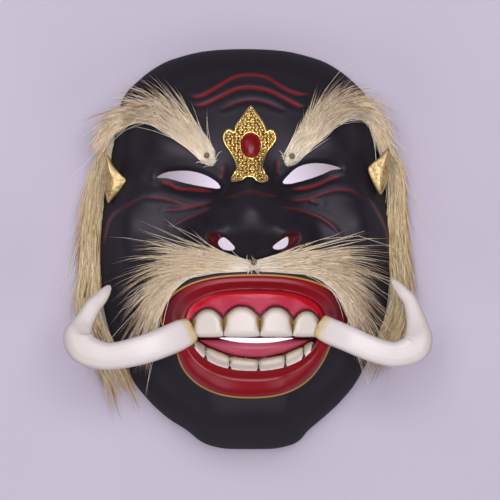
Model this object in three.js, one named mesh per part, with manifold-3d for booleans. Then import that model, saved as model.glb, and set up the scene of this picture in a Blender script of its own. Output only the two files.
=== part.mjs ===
// Barong mask of the Balinese kind: a face carved from one block of light wood, hollowed behind and painted,
// with hide-and-hair brows, moustache and side locks, two tusks, two gilded ears and a gilt brow jewel.
// Millimetres. The mask lies on its flat back rim: +X to the right of the face as it is looked at,
// +Y to the crown, +Z out of the face. The origin is the middle of the whole outline, on the rim's plane.
import * as THREE from "three";
import { ParametricGeometry } from "three/addons/geometries/ParametricGeometry.js";
import { mergeVertices } from "three/addons/utils/BufferGeometryUtils.js";
import Module from "manifold-3d";

const wasm = await Module();
wasm.setup();

// Driving dimensions of the wooden face.
const FACE_HALF_HEIGHT = 106.5;
const FACE_CENTRE_X = -1.8;
const DOME_HEIGHT = 56;
const HOLLOW_HEIGHT = 41;
const RIM_WIDTH = 6.5;
const CHIN_LEAN = 2.4;
const DOME_ROUNDNESS = 2.1;
const DOME_SQUARENESS = 3.0;
const CHIN_SQUARENESS = 1.6;
const FIT_GAP = 0.5;
const SIMPLIFY_WITHIN = 0.18;

// Half of the outline from crown to chin, measured from the middle of the face; the chin leans a little to the right.
const HALF_OUTLINE = [
  [20, 105.5], [34.5, 102.3], [45.2, 98.1], [56.4, 90], [65.5, 79.2], [69.8, 60], [75.4, 28], [77.8, 0],
  [75.8, -28], [70.8, -47.5], [59.8, -69.7], [51.5, -80.4], [46.2, -85.7], [40, -91], [32.5, -96.4],
  [26.9, -101.7], [22, -104.3], [15, -106], [7.5, -106.5],
];

// The mouth: its middle, and the superellipses of the lips' outer and inner edges above and below that level.
const MOUTH_X = 3.4;
const MOUTH_Y = -40;
const LIP_EDGE = { halfWidth: 49.5, up: 26.3, down: 37.9, powerUp: 2.5, powerDown: 1.85 };
const LIP_INSIDE = { halfWidth: 37, up: 18.4, down: 23.9, powerUp: 2.6, powerDown: 2 };
const LIP_RISE = 3.4;
const MOUTH_FLOOR_Z = 45.5;

// Upper teeth by the borders between them, lower teeth likewise; the levels are heights up the face.
const UPPER_BORDERS = [-29.3, -13.1, 6, 23.2, 37.4];
const UPPER_TOPS = [-32, -30.1, -30.6, -33.1];
const TEETH_BOTTOM = -46.2;
const LOWER_BORDERS = [-28.8, -22.4, -9.8, 5.3, 19.3, 29, 34];
const LOWER_TEETH = { top: -53.6, bottom: -65.5, cornerLift: 6.5, half: 3.4 };
const TONGUE = { x: 3.4, y: -53, z: 45.8, half: [26, 5.6, 5.5] };

// Eye slits by their corners, with the rise of the upper lid and the sag of the lower one.
const EYES = [
  { outer: [-48.3, 38], inner: [-14.9, 32] },
  { outer: [48.8, 42.8], inner: [17.8, 35] },
];
const LID_RISE = 12.2;
const LID_SAG = 4;

// Nostril openings: middle and half sizes.
const NOSTRILS = [[-11.6, 2.6], [16.9, 3]];
const NOSTRIL_HALF = [3.9, 3.6];

// The slit between the teeth and the tongue.
const SLIT = { left: -15.6, right: 22.4, sag: 6.2 };

// Grid of the carved face.
const FACE_SECTORS = 60;
const OUTER_RINGS = 17;
const INNER_RINGS = 6;

// Tusks from root to tip, as [x, y, z, half thickness]; the left one is the stouter. Front to back they are flatter.
const TUSKS = {
  left: [
    [-30, -42.3, 53, 6.4], [-36, -45.2, 56, 7.9], [-46.7, -49.8, 60, 7.8], [-57.3, -53.3, 61, 7.6],
    [-70, -56, 60.5, 7.2], [-78.7, -55.4, 59.5, 7.8], [-86.2, -52, 58.3, 8.5], [-89.2, -46, 57.6, 8.2],
    [-87.6, -40.8, 57, 6.2], [-85.4, -36.6, 56.5, 5], [-81.5, -30, 55.5, 4.4], [-77.8, -26, 54.8, 3.8],
    [-75, -22.4, 54.2, 3.2], [-72.9, -19.4, 53.5, 1.8],
  ],
  right: [
    [38.2, -40.6, 53, 6.4], [43, -43.2, 56, 6.9], [53.6, -47.6, 60, 6.9], [62.6, -51.6, 60.8, 6.7],
    [71.5, -54.5, 60.8, 6.6], [78.4, -55, 60, 6.9], [86.4, -52.2, 58.7, 8], [89, -46.8, 57.8, 7.7],
    [88.4, -39.6, 57, 5.8], [87, -33.7, 56.3, 4.7], [84.7, -27.1, 55.5, 3.8], [81.3, -22.9, 55, 3.4],
    [78.3, -19.4, 54.3, 2.9], [75.4, -16.2, 53.5, 1.6],
  ],
};
const TUSK_FLATNESS = 0.82;

// Brow strips from the nose outwards, as [x, y, half width, half thickness]; the two arch differently.
const BROWS = {
  left: [
    [-19.8, 46.8, 3.6, 1.6], [-25.6, 53.6, 5, 2.6], [-32.5, 62.6, 7.6, 4], [-40.4, 70.2, 9.4, 4.4],
    [-49.4, 75, 10, 4.4], [-59.9, 75.4, 9.8, 4.4], [-69, 70.8, 8.6, 4], [-78, 63.5, 5, 3], [-82.5, 59.5, 1.4, 1.4],
  ],
  right: [
    [21.2, 46, 3.6, 1.6], [25, 52, 5, 2.6], [31.4, 61.4, 7.8, 4], [39, 70, 9.6, 4.4], [46.6, 76, 10.4, 4.4],
    [54.4, 78, 10, 4.4], [62, 73.6, 8.6, 4], [68.6, 65, 6.6, 3.4], [73, 57, 3.6, 2.6], [74.6, 53.5, 1.2, 1.2],
  ],
};
const BROW_OVERHANG_Z = 28;

// Moustache: right half, as [x from the lip's middle, y, half width].
const MOUSTACHE_LINE = [[3, -7, 3.2], [18, -8, 6.2], [34, -13, 10.5], [50, -21, 15.5], [64, -29, 18.5]];
const MOUSTACHE_X = 1.2;
const MOUSTACHE_THICKNESS = [1.8, 2.8, 3.6, 3.8, 3];
const HAIR_SINK = 0.35;

// Side locks from the temple down, as [x, y, z, half width, half thickness]; the left one hangs lower.
const LOCKS = {
  left: [
    [-72.4, 61, 11, 1, 1.2], [-75.6, 54, 11, 3.5, 3.5], [-80.4, 36, 10.5, 4.6, 5], [-83, 16, 10, 5.2, 6],
    [-84.4, -6, 9.5, 5.6, 6], [-85.4, -26, 9, 7, 6], [-84, -41, 8.5, 8, 6], [-78, -56, 8, 8, 5.5],
    [-71.5, -68, 7, 7, 4.5], [-68, -79, 6, 4.4, 3], [-66.6, -88, 5.5, 0.8, 0.8],
  ],
  right: [
    [70.6, 61, 11, 1, 1.2], [74.4, 53, 11, 3.4, 3.4], [78, 38, 10.5, 4.2, 4.8], [78.8, 20, 10, 4.6, 6],
    [79.6, 2, 9.5, 5, 6], [80.6, -14, 9, 5.8, 6], [81, -28, 8.5, 6.6, 6], [78, -42, 8, 6.6, 5],
    [72.6, -54, 7, 4.6, 3.6], [68, -64, 6, 0.8, 0.8],
  ],
};

// Ear: base and tip of the right one, with its half widths across and front to back.
const EAR_LINE = [[63.5, 24, 26], [68, 30, 28], [72, 37, 29.5], [75, 44.5, 31], [76.8, 52, 32.5]];
const EAR_HALF = [9, 9.8, 7.4, 4.2, 0.6];
const EAR_FLATNESS = 0.62;

// Brow jewel: height of its foot, total height, and half widths up the plate as [share of height, half width].
const JEWEL_X = 1;
const JEWEL_FOOT_Y = 34.6;
const JEWEL_HEIGHT = 41.2;
const JEWEL_HALF = [
  [0, 9.6], [0.05, 10], [0.11, 7.8], [0.17, 6.8], [0.31, 7.4], [0.4, 9.2], [0.46, 11.4], [0.54, 13.6],
  [0.6, 14.4], [0.66, 13.4], [0.69, 12], [0.705, 9.2], [0.72, 8.8], [0.83, 6.3], [0.92, 3.7], [0.975, 1.8], [1, 0.5],
];
const JEWEL_THICKNESS = 2.6;
const JEWEL_EDGE = 1.1;
const ARCH_RADIUS = 3.4;
const STONE = { y: 54.6, halfWidth: 5.1, halfHeight: 6.2, rise: 3.6 };

// Pegs that pin the strips of hide to the wood.
const PEGS = { brow_peg_left: [-21.9, 49.2], brow_peg_right: [22.9, 48.8], moustache_peg: [2.9, -6.9] };
const PEG_RADIUS = 1.5;
const PEG_HEIGHT = 1.4;
const PEG_GROUND = 3.6;

const COLOURS = {
  blackPaint: 0x222126,
  hair: 0xc4ad86,
  tusk: 0xf0e6df,
  gold: 0xcf9c33,
  stone: 0x7d1015,
  peg: 0x8a7247,
};

const smoothstep = (from, to, value) => THREE.MathUtils.smoothstep(value, from, to);
const bell = (x, y, middleX, middleY, spreadX, spreadY) =>
  Math.exp(-(((x - middleX) / spreadX) ** 2) - ((y - middleY) / spreadY) ** 2);
const knob = (x, y, middleX, middleY, spreadX, spreadY) =>
  Math.exp(-((((x - middleX) / spreadX) ** 2 + ((y - middleY) / spreadY) ** 2) ** 1.25));

// Outline of the face, and its radius from the middle in any direction.
const outlineLoop = [
  [0, FACE_HALF_HEIGHT],
  ...HALF_OUTLINE,
  ...HALF_OUTLINE.toReversed().map(([w, h]) => [-w, h]),
].map(([w, h]) => new THREE.Vector3(w + CHIN_LEAN * (1 - smoothstep(-104, -88, h)), h, 0));
const RIM_SAMPLES = 720;
const rimTable = new THREE.CatmullRomCurve3(outlineLoop, true)
  .getSpacedPoints(RIM_SAMPLES)
  .map((p) => [Math.atan2(p.x, p.y), Math.hypot(p.x, p.y)])
  .sort((a, b) => a[0] - b[0]);

function rimRadius(angle) {
  const after = rimTable.findIndex(([a]) => a > angle);
  if (after <= 0) return rimTable[after === 0 ? 0 : rimTable.length - 1][1];
  const [[a0, r0], [a1, r1]] = [rimTable[after - 1], rimTable[after]];
  return r0 + ((r1 - r0) * (angle - a0)) / (a1 - a0);
}

// The painted features lean to one side of the outline, most of all at the mouth, as hand carving does.
const midline = (y) => 1.2 + 3.2 * Math.exp(-(((y + 42) / 38) ** 2));

// Height of a dome that meets the rim's plane squarely at share 1 of the radius.
function dome(height, share, angle) {
  const squareness = DOME_SQUARENESS + CHIN_SQUARENESS * Math.max(0, -Math.cos(angle)) ** 3;
  return height * Math.max(0, 1 - share ** squareness) ** (1 / DOME_ROUNDNESS);
}

// Broad carving added to the dome: nose, cheeks, brow bones, eye trenches, muzzle and chin.
function carving(x, y) {
  const u = x - midline(y);
  const v = Math.abs(u);
  const w = Math.abs(x - FACE_CENTRE_X);
  let z = 19 * knob(u, y, 0, 15.5, 17.5, 16) + 7 * bell(u, y, 0, 35, 10, 12);
  z += 11 * knob(v, y, 21.5, 7, 9.5, 8.5);
  z += 14 * bell(w, y, 66, 13, 16, 20) + 6 * bell(v, y, 51, 55, 22, 15);
  z += 11 * bell(u, y, 0, -52, 50, 38) + 9 * bell(u, y, 0, -93, 40, 15);
  for (const { outer, inner } of EYES) {
    const [middleX, middleY] = [(outer[0] + inner[0]) / 2, (outer[1] + inner[1]) / 2];
    const slope = (outer[1] - inner[1]) / (outer[0] - inner[0]);
    z -= 7 * bell(x, y - slope * (x - middleX), middleX, middleY + 0.5, 23, 7);
  }
  return z;
}

// Outer surface of the wood, at any place within the outline.
function faceHeight(x, y) {
  const angle = Math.atan2(x - FACE_CENTRE_X, y);
  const share = Math.hypot(x - FACE_CENTRE_X, y) / rimRadius(angle);
  const fade = 1 - smoothstep(0.88, 1, share);
  return dome(DOME_HEIGHT, share, angle) + fade * carving(x, y);
}

// A closed geometry, seams and poles merged, as a solid that faces outwards.
function solidOf(geometry) {
  const bare = new THREE.BufferGeometry().setAttribute("position", geometry.getAttribute("position"));
  const merged = mergeVertices(bare.setIndex(geometry.index), 1e-3);
  const kept = [];
  const index = merged.index.array;
  for (let i = 0; i < index.length; i += 3) {
    const [a, b, c] = index.subarray(i, i + 3);
    if (a !== b && b !== c && c !== a) kept.push(a, b, c);
  }
  const vertProperties = merged.getAttribute("position").array;
  const made = (triVerts) => new wasm.Manifold(new wasm.Mesh({ numProp: 3, vertProperties, triVerts }));
  const solid = made(new Uint32Array(kept));
  return solid.volume() > 0 ? solid : made(new Uint32Array(kept.toReversed()));
}

// The one outer surface of a solid: slivers that a cut leaves loose or sealed in are let go.
function geometryOf(solid) {
  const bodies = solid.simplify(SIMPLIFY_WITHIN).decompose();
  const body = bodies.reduce((most, next) => (next.volume() > most.volume() ? next : most));
  const { vertProperties, triVerts } = body.getMesh();
  return new THREE.BufferGeometry()
    .setAttribute("position", new THREE.BufferAttribute(new Float32Array(vertProperties), 3))
    .setIndex(new THREE.BufferAttribute(new Uint32Array(triVerts), 1));
}

// Rings from the middle of the face to the rim, closer together towards the steep edge.
const ringShare = (ring, rings) => 1 - (1 - ring / rings) ** 1.7;

// The face as a closed form. Grown by a gap and left solid behind, it is the space that its neighbours keep out of.
function faceGeometry({ grow = 0, hollow = true }) {
  const innerRings = hollow ? INNER_RINGS : 1;
  const stacks = OUTER_RINGS + innerRings;
  const surface = (around, through, target) => {
    const angle = (around % 1) * 2 * Math.PI - Math.PI;
    const ring = Math.round(through * stacks);
    const outer = ring <= OUTER_RINGS;
    const share = outer ? ringShare(ring, OUTER_RINGS) : ringShare(stacks - ring, innerRings);
    const radius = rimRadius(angle) * share + grow;
    const [sin, cos] = [Math.sin(angle), Math.cos(angle)];
    if (outer) {
      const [x, y] = [FACE_CENTRE_X + rimRadius(angle) * share * sin, rimRadius(angle) * share * cos];
      const reach = share === 0 ? 0 : radius;
      const lift = ring === OUTER_RINGS ? -grow : faceHeight(x, y) + grow;
      return target.set(FACE_CENTRE_X + reach * sin, reach * cos, lift);
    }
    const inset = Math.max(0, rimRadius(angle) - RIM_WIDTH) * share;
    const [x, y] = [FACE_CENTRE_X + inset * sin, inset * cos];
    const noseRoom = 14 * bell(x, y, 2, 14, 14, 16) * (1 - share ** 4);
    return target.set(x, y, hollow ? dome(HOLLOW_HEIGHT, share, angle) + noseRoom : -grow);
  };
  // The hollow form repeats the rim as its first inner ring, so the rim is a flat band.
  const withRim = (around, through, target) => {
    const ring = Math.round(through * (stacks + 1));
    if (ring <= OUTER_RINGS) return surface(around, ring / stacks, target);
    const angle = (around % 1) * 2 * Math.PI - Math.PI;
    if (ring === OUTER_RINGS + 1) {
      const inset = rimRadius(angle) - RIM_WIDTH;
      return target.set(FACE_CENTRE_X + inset * Math.sin(angle), inset * Math.cos(angle), 0);
    }
    return surface(around, (ring - 1) / stacks, target);
  };
  return hollow
    ? new ParametricGeometry(withRim, FACE_SECTORS, stacks + 1)
    : new ParametricGeometry(surface, FACE_SECTORS, stacks);
}

// A prism right through the mask.
function throughCut(shape, segments) {
  const depth = 2 * FACE_HALF_HEIGHT;
  const prism = new THREE.ExtrudeGeometry(shape, { depth, bevelEnabled: false, curveSegments: segments });
  return solidOf(prism.translate(0, 0, -depth / 4));
}

function eyeShape({ outer, inner }) {
  const middle = [(outer[0] + inner[0]) / 2, (outer[1] + inner[1]) / 2];
  return new THREE.Shape()
    .moveTo(...outer)
    .quadraticCurveTo(middle[0], middle[1] + LID_RISE, ...inner)
    .quadraticCurveTo(middle[0], middle[1] - LID_SAG, ...outer);
}

function nostrilShape([x, y]) {
  return new THREE.Shape().absellipse(x, y, ...NOSTRIL_HALF, 0, 2 * Math.PI, false, 0);
}

function slitShape() {
  return new THREE.Shape()
    .moveTo(SLIT.left, TEETH_BOTTOM)
    .quadraticCurveTo((SLIT.left + SLIT.right) / 2, TEETH_BOTTOM - SLIT.sag, SLIT.right, TEETH_BOTTOM)
    .lineTo(SLIT.left, TEETH_BOTTOM);
}

// A closed sweep along stations of { point, half sizes across and out of the face }, rounded to a point at each end.
function sweep(stations, { sides = 10, steps = 20 } = {}) {
  const route = new THREE.CatmullRomCurve3(stations.map((s) => new THREE.Vector3(...s.point)));
  const widths = new THREE.CatmullRomCurve3(stations.map((s) => new THREE.Vector3(s.across, s.out, 0)));
  const rows = steps + 2;
  const surface = (around, along, target) => {
    const row = Math.round(along * rows);
    const t = THREE.MathUtils.clamp((row - 1) / steps, 0, 1);
    const middle = route.getPoint(t);
    const half = row === 0 || row === rows ? new THREE.Vector3() : widths.getPoint(t);
    const ahead = route.getTangent(t);
    const side = new THREE.Vector3(ahead.y, -ahead.x, 0).normalize();
    const out = side.clone().cross(ahead);
    const angle = (around % 1) * 2 * Math.PI;
    target.copy(middle).addScaledVector(side, half.x * Math.cos(angle));
    return target.addScaledVector(out, half.y * Math.sin(angle));
  };
  return solidOf(new ParametricGeometry(surface, sides, rows));
}

// A place on a superellipse about the mouth, by angle from the right-hand corner.
function mouthPoint(edge, angle) {
  const [cos, sin] = [Math.cos(angle), Math.sin(angle)];
  const power = sin > 0 ? edge.powerUp : edge.powerDown;
  const height = sin > 0 ? edge.up : edge.down;
  const x = MOUTH_X + edge.halfWidth * Math.sign(cos) * Math.abs(cos) ** (2 / power);
  return new THREE.Vector2(x, MOUTH_Y + height * Math.sign(sin) * Math.abs(sin) ** (2 / power));
}

// Room for the mouth, cut into the muzzle down to a flat floor.
function mouthRoom() {
  const corners = Array.from({ length: 48 }, (_, i) => mouthPoint(LIP_INSIDE, (i / 48) * 2 * Math.PI));
  const prism = new THREE.ExtrudeGeometry(new THREE.Shape(corners), { depth: FACE_HALF_HEIGHT, bevelEnabled: false });
  return solidOf(prism.translate(0, 0, MOUTH_FLOOR_Z));
}

// The lips as one closed roll between their outer and inner edges; grown, it is what the tusks keep clear of.
function lipRoll(grow = 0) {
  const surface = (around, over, target) => {
    const angle = (around % 1) * 2 * Math.PI;
    const [edge, inside] = [mouthPoint(LIP_EDGE, angle), mouthPoint(LIP_INSIDE, angle)];
    const section = (over % 1) * 2 * Math.PI;
    const rounded = Math.sign(Math.sin(section)) * Math.abs(Math.sin(section)) ** 0.7;
    const spread = 0.5 + grow / edge.distanceTo(inside);
    const place = edge.clone().lerp(inside, 0.5 - spread * Math.cos(section));
    const ground = faceHeight(edge.x, edge.y) + (faceHeight(place.x, place.y) - faceHeight(edge.x, edge.y)) * 0.8;
    return target.set(place.x, place.y, ground - 2 + (LIP_RISE + 2 + grow) * rounded);
  };
  return solidOf(new ParametricGeometry(surface, 40, 6));
}

// A rounded block: a sphere squared off towards a box.
function roundedBlock(middle, half, [columns, rows]) {
  const ball = new THREE.SphereGeometry(1, columns, rows);
  const place = ball.getAttribute("position");
  const squared = (value) => Math.sign(value) * Math.abs(value) ** 0.6;
  for (let i = 0; i < place.count; i++) {
    place.setXYZ(i, squared(place.getX(i)), squared(place.getY(i)), squared(place.getZ(i)));
  }
  return solidOf(ball.scale(...half).translate(...middle));
}

// Front of the dental arch, which falls back towards the corners of the mouth.
const archZ = (x) => 60.5 - 7 * ((x - MOUTH_X) / 34) ** 2;

function upperTeeth() {
  return UPPER_TOPS.map((top, i) => {
    const [left, right] = [UPPER_BORDERS[i], UPPER_BORDERS[i + 1]];
    const half = [(right - left) / 2 + 0.35, (top - TEETH_BOTTOM) / 2, 8];
    return roundedBlock([(left + right) / 2, (top + TEETH_BOTTOM) / 2, archZ((left + right) / 2) - 6], half, [10, 6]);
  });
}

function lowerTeeth() {
  return LOWER_BORDERS.slice(1).map((right, i) => {
    const left = LOWER_BORDERS[i];
    const x = (left + right) / 2;
    const lift = LOWER_TEETH.cornerLift * ((x - MOUTH_X) / 30) ** 2;
    const half = [(right - left) / 2 + 0.3, (LOWER_TEETH.top - LOWER_TEETH.bottom) / 2, 6];
    const y = (LOWER_TEETH.top + LOWER_TEETH.bottom) / 2 + lift;
    return roundedBlock([x, y, archZ(x) - 11.5], half, [8, 5]);
  });
}

function tongue() {
  const ball = new THREE.SphereGeometry(1, 12, 6).scale(...TONGUE.half);
  return solidOf(ball.translate(TONGUE.x, TONGUE.y, TONGUE.z));
}

// The gum over the upper teeth.
function gumRoll() {
  const stations = [-31, -15, MOUTH_X, 22, 38].map((x) => {
    const across = (x - MOUTH_X) / 35;
    return { point: [x, -26.3 - 7 * across ** 2, archZ(x) - 5.5], across: 5.6, out: 4.6 };
  });
  return sweep(stations, { sides: 8, steps: 12 });
}

function tuskStations(side) {
  return TUSKS[side].map(([x, y, z, half]) => ({ point: [x, y, z], across: half, out: half * TUSK_FLATNESS }));
}

function browStations(side) {
  return BROWS[side].map(([x, y, across, out]) => {
    const ground = Math.max(faceHeight(x, y), BROW_OVERHANG_Z);
    return { point: [x, y, ground + out * HAIR_SINK], across, out };
  });
}

function moustacheStations(hand) {
  return MOUSTACHE_LINE.map(([reach, y, across], i) => {
    const x = MOUSTACHE_X + hand * reach;
    const out = MOUSTACHE_THICKNESS[i];
    return { point: [x, y, faceHeight(x, y) + out * HAIR_SINK], across, out };
  });
}

function lockStations(side) {
  return LOCKS[side].map(([x, y, z, across, out]) => ({ point: [x, y, z], across, out }));
}

function earStations(hand) {
  return EAR_LINE.map(([x, y, z], i) => {
    return { point: [hand * x, y, z], across: EAR_HALF[i], out: EAR_HALF[i] * EAR_FLATNESS };
  });
}

// Jewel plate: bent to the forehead, thickest along its middle, with an arch cut between its two feet.
function jewelHalf(share) {
  const after = Math.max(1, JEWEL_HALF.findIndex(([h]) => h >= share));
  const [[h0, w0], [h1, w1]] = [JEWEL_HALF[after - 1], JEWEL_HALF[after]];
  return w0 + ((w1 - w0) * (share - h0)) / (h1 - h0);
}

function jewelFront(x, y, half) {
  const edge = Math.min(1, Math.abs(x - JEWEL_X) / half);
  return faceHeight(x, y) + FIT_GAP + JEWEL_EDGE + (JEWEL_THICKNESS - JEWEL_EDGE) * (1 - edge ** 2);
}

function jewelPlate() {
  const columns = 6;
  const rows = 18;
  const surface = (around, up, target) => {
    const share = up;
    const lap = (around % 1) * 2 * columns;
    const front = lap <= columns;
    const across = front ? (2 * lap) / columns - 1 : 3 - (2 * lap) / columns;
    const y = JEWEL_FOOT_Y + share * JEWEL_HEIGHT;
    const half = jewelHalf(share);
    const x = JEWEL_X + across * half;
    return target.set(x, y, front ? jewelFront(x, y, half) : faceHeight(x, y) - FIT_GAP);
  };
  const walls = new ParametricGeometry(surface, 2 * columns, rows);
  const arch = new THREE.CylinderGeometry(ARCH_RADIUS, ARCH_RADIUS, FACE_HALF_HEIGHT, 16).rotateX(Math.PI / 2);
  return solidOf(capped(walls, 2 * columns, rows)).subtract(
    solidOf(arch.translate(JEWEL_X, JEWEL_FOOT_Y - 0.6, FACE_HALF_HEIGHT / 2)),
  );
}

// Closes the two open ends of a grid that runs round a ring of slices.
function capped(grid, slices, stacks) {
  const index = [...grid.index.array];
  const row = slices + 1;
  for (const start of [0, stacks * row]) {
    for (let i = 0; i < slices / 2; i++) {
      const [a, b] = [start + i, start + i + 1];
      const [c, d] = [start + slices - i, start + slices - i - 1];
      const quad = start === 0 ? [a, c, b, b, c, d] : [a, b, c, b, d, c];
      index.push(...quad);
    }
  }
  return new THREE.BufferGeometry().setAttribute("position", grid.getAttribute("position")).setIndex(index);
}

// Cabochon stone: half an ellipsoid on a flat base, leaning with the plate under it.
function stoneSolid() {
  const front = (y) => jewelFront(JEWEL_X, y, jewelHalf((y - JEWEL_FOOT_Y) / JEWEL_HEIGHT));
  const [low, high] = [front(STONE.y - STONE.halfHeight), front(STONE.y + STONE.halfHeight)];
  const lean = Math.atan2(high - low, 2 * STONE.halfHeight);
  const seat = Math.max((low + high) / 2, front(STONE.y)) + FIT_GAP;
  const cabochon = new THREE.SphereGeometry(1, 16, 4, 0, 2 * Math.PI, 0, Math.PI / 2);
  const base = new THREE.CircleGeometry(1, 16).rotateX(Math.PI / 2);
  const rim = cabochon.getAttribute("position").count;
  const points = [...cabochon.getAttribute("position").array, ...base.getAttribute("position").array];
  const index = [...cabochon.index.array, ...base.index.array.map((i) => i + rim)];
  const closed = new THREE.BufferGeometry()
    .setAttribute("position", new THREE.Float32BufferAttribute(points, 3))
    .setIndex(index)
    .rotateX(Math.PI / 2)
    .scale(STONE.halfWidth, STONE.halfHeight, STONE.rise)
    .rotateX(lean)
    .translate(JEWEL_X, STONE.y, seat);
  return solidOf(closed);
}

function pegSolid([x, y]) {
  const peg = new THREE.CylinderGeometry(PEG_RADIUS * 0.8, PEG_RADIUS, PEG_HEIGHT, 12).rotateX(Math.PI / 2);
  return solidOf(peg.translate(x, y, faceHeight(x, y) + PEG_GROUND + PEG_HEIGHT / 2));
}

// The assembled mask.
const mask = new THREE.Group();

function addPiece(name, solid, color, { roughness = 0.6, metalness = 0 } = {}) {
  const piece = new THREE.Mesh(geometryOf(solid), new THREE.MeshStandardMaterial({ color, roughness, metalness }));
  piece.name = name;
  mask.add(piece);
}

const keepOut = solidOf(faceGeometry({ grow: FIT_GAP, hollow: false }));
const mouthKeepOut = lipRoll(FIT_GAP);
const cuts = [
  ...EYES.map((eye) => throughCut(eyeShape(eye), 8)),
  ...NOSTRILS.map((nostril) => throughCut(nostrilShape(nostril), 10)),
  throughCut(slitShape(), 8),
];
const mouthPieces = [lipRoll(), gumRoll(), ...upperTeeth(), ...lowerTeeth(), tongue()];
const carved = mouthPieces.reduce((wood, piece) => wood.add(piece), solidOf(faceGeometry({})).subtract(mouthRoom()));
const face = cuts.reduce((wood, cut) => wood.subtract(cut), carved);
addPiece("face_shell", face, COLOURS.blackPaint, { roughness: 0.55 });

for (const [hand, side] of [[-1, "left"], [1, "right"]]) {
  const clear = (stations, options) => sweep(stations, options).subtract(keepOut).subtract(mouthKeepOut);
  const gilt = { roughness: 0.35, metalness: 0.9 };
  const matte = { roughness: 0.8 };
  addPiece(`tusk_${side}`, clear(tuskStations(side), { steps: 18 }), COLOURS.tusk, { roughness: 0.4 });
  addPiece(`ear_${side}`, clear(earStations(hand), { sides: 8, steps: 8 }), COLOURS.gold, gilt);
  addPiece(`brow_${side}`, clear(browStations(side), { sides: 8, steps: 14 }), COLOURS.hair, matte);
  addPiece(`moustache_${side}`, clear(moustacheStations(hand), { sides: 8, steps: 10 }), COLOURS.hair, matte);
  addPiece(`side_lock_${side}`, clear(lockStations(side), { sides: 8, steps: 12 }), COLOURS.hair, matte);
}

addPiece("brow_jewel", jewelPlate().subtract(keepOut), COLOURS.gold, { roughness: 0.35, metalness: 0.9 });
addPiece("jewel_stone", stoneSolid(), COLOURS.stone, { roughness: 0.15 });
for (const [name, place] of Object.entries(PEGS)) addPiece(name, pegSolid(place), COLOURS.peg);

export default mask;
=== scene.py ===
import bpy
import numpy as np
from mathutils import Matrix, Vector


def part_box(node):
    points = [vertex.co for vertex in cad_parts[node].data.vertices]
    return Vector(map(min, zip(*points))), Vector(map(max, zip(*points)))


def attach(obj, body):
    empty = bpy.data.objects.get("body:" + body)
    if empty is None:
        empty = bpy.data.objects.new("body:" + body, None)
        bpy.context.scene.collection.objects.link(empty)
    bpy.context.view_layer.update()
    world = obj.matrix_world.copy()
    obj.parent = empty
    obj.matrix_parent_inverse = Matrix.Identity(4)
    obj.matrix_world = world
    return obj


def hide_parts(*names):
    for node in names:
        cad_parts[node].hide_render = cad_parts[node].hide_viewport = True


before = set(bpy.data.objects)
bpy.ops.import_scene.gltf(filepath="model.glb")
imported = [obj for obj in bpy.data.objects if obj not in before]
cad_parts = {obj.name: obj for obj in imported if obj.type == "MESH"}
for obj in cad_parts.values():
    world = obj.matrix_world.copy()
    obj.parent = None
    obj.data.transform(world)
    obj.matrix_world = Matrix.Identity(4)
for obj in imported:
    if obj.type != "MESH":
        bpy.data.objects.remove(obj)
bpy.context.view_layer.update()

# Carved face. One block of light pule wood, shaped and hollowed with knives, sanded, and painted in many
# coats. Lips, gum, teeth and tongue are cut in the same block; eyes, nostrils and a slit in the mouth go
# right through. It lies on the flat rim round its hollow back. Sizes are in millimetres.
FACE_HALF_HEIGHT = 106.5
FACE_CENTRE_X = -1.8
DOME_HEIGHT = 56.0
HOLLOW_HEIGHT = 41.0
NOSE_ROOM = 14.0
DOME_ROUNDNESS = 2.1
RIM_WIDTH = 6.5
CHIN_LEAN = 2.4
HALF_OUTLINE = np.array([
    (20, 105.5), (34.5, 102.3), (45.2, 98.1), (56.4, 90), (65.5, 79.2), (69.8, 60), (75.4, 28), (77.8, 0),
    (75.8, -28), (70.8, -47.5), (59.8, -69.7), (51.5, -80.4), (46.2, -85.7), (40, -91), (32.5, -96.4),
    (26.9, -101.7), (22, -104.3), (15, -106), (7.5, -106.5),
])
EYE_OUTLINES = [
    [(-48.3, 37.8), (-43.2, 40.5), (-33.1, 41.3), (-24.7, 39.7), (-18, 36.3), (-15, 33), (-16.3, 31.8),
     (-24.7, 33), (-33.1, 34.7), (-39, 36.3), (-43.2, 37.3)],
    [(49, 42.6), (41, 44.9), (32.6, 45.1), (25.8, 43), (20.8, 38.8), (18.1, 35), (21.6, 34.3),
     (30.1, 36.3), (38.4, 39.2), (43.5, 41.5)],
]
# Middle and slope of each eye trench
EYE_MIDDLES = [(-31.6, 35, -0.18), (33.3, 38.9, 0.252)]
NOSTRIL_HOLES = [
    [(-16, 3.4), (-12.9, 6.1), (-7.4, 1.3), (-8.7, -0.7), (-13.7, 0.1)],
    [(20.3, 6.4), (12.8, 1.3), (15.7, -0.3), (20.3, 1.7)],
]
# Middle and slope of each nostril's recess
NOSTRIL_RECESSES = [(-15.4, 4.2, -0.45), (21.0, 4.4, 0.5)]
MOUTH_SLIT = [(-15.2, -46.6), (3.5, -46.8), (23.5, -46.8), (15, -48.8), (4.5, -49.5), (-7, -48.8)]
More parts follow.
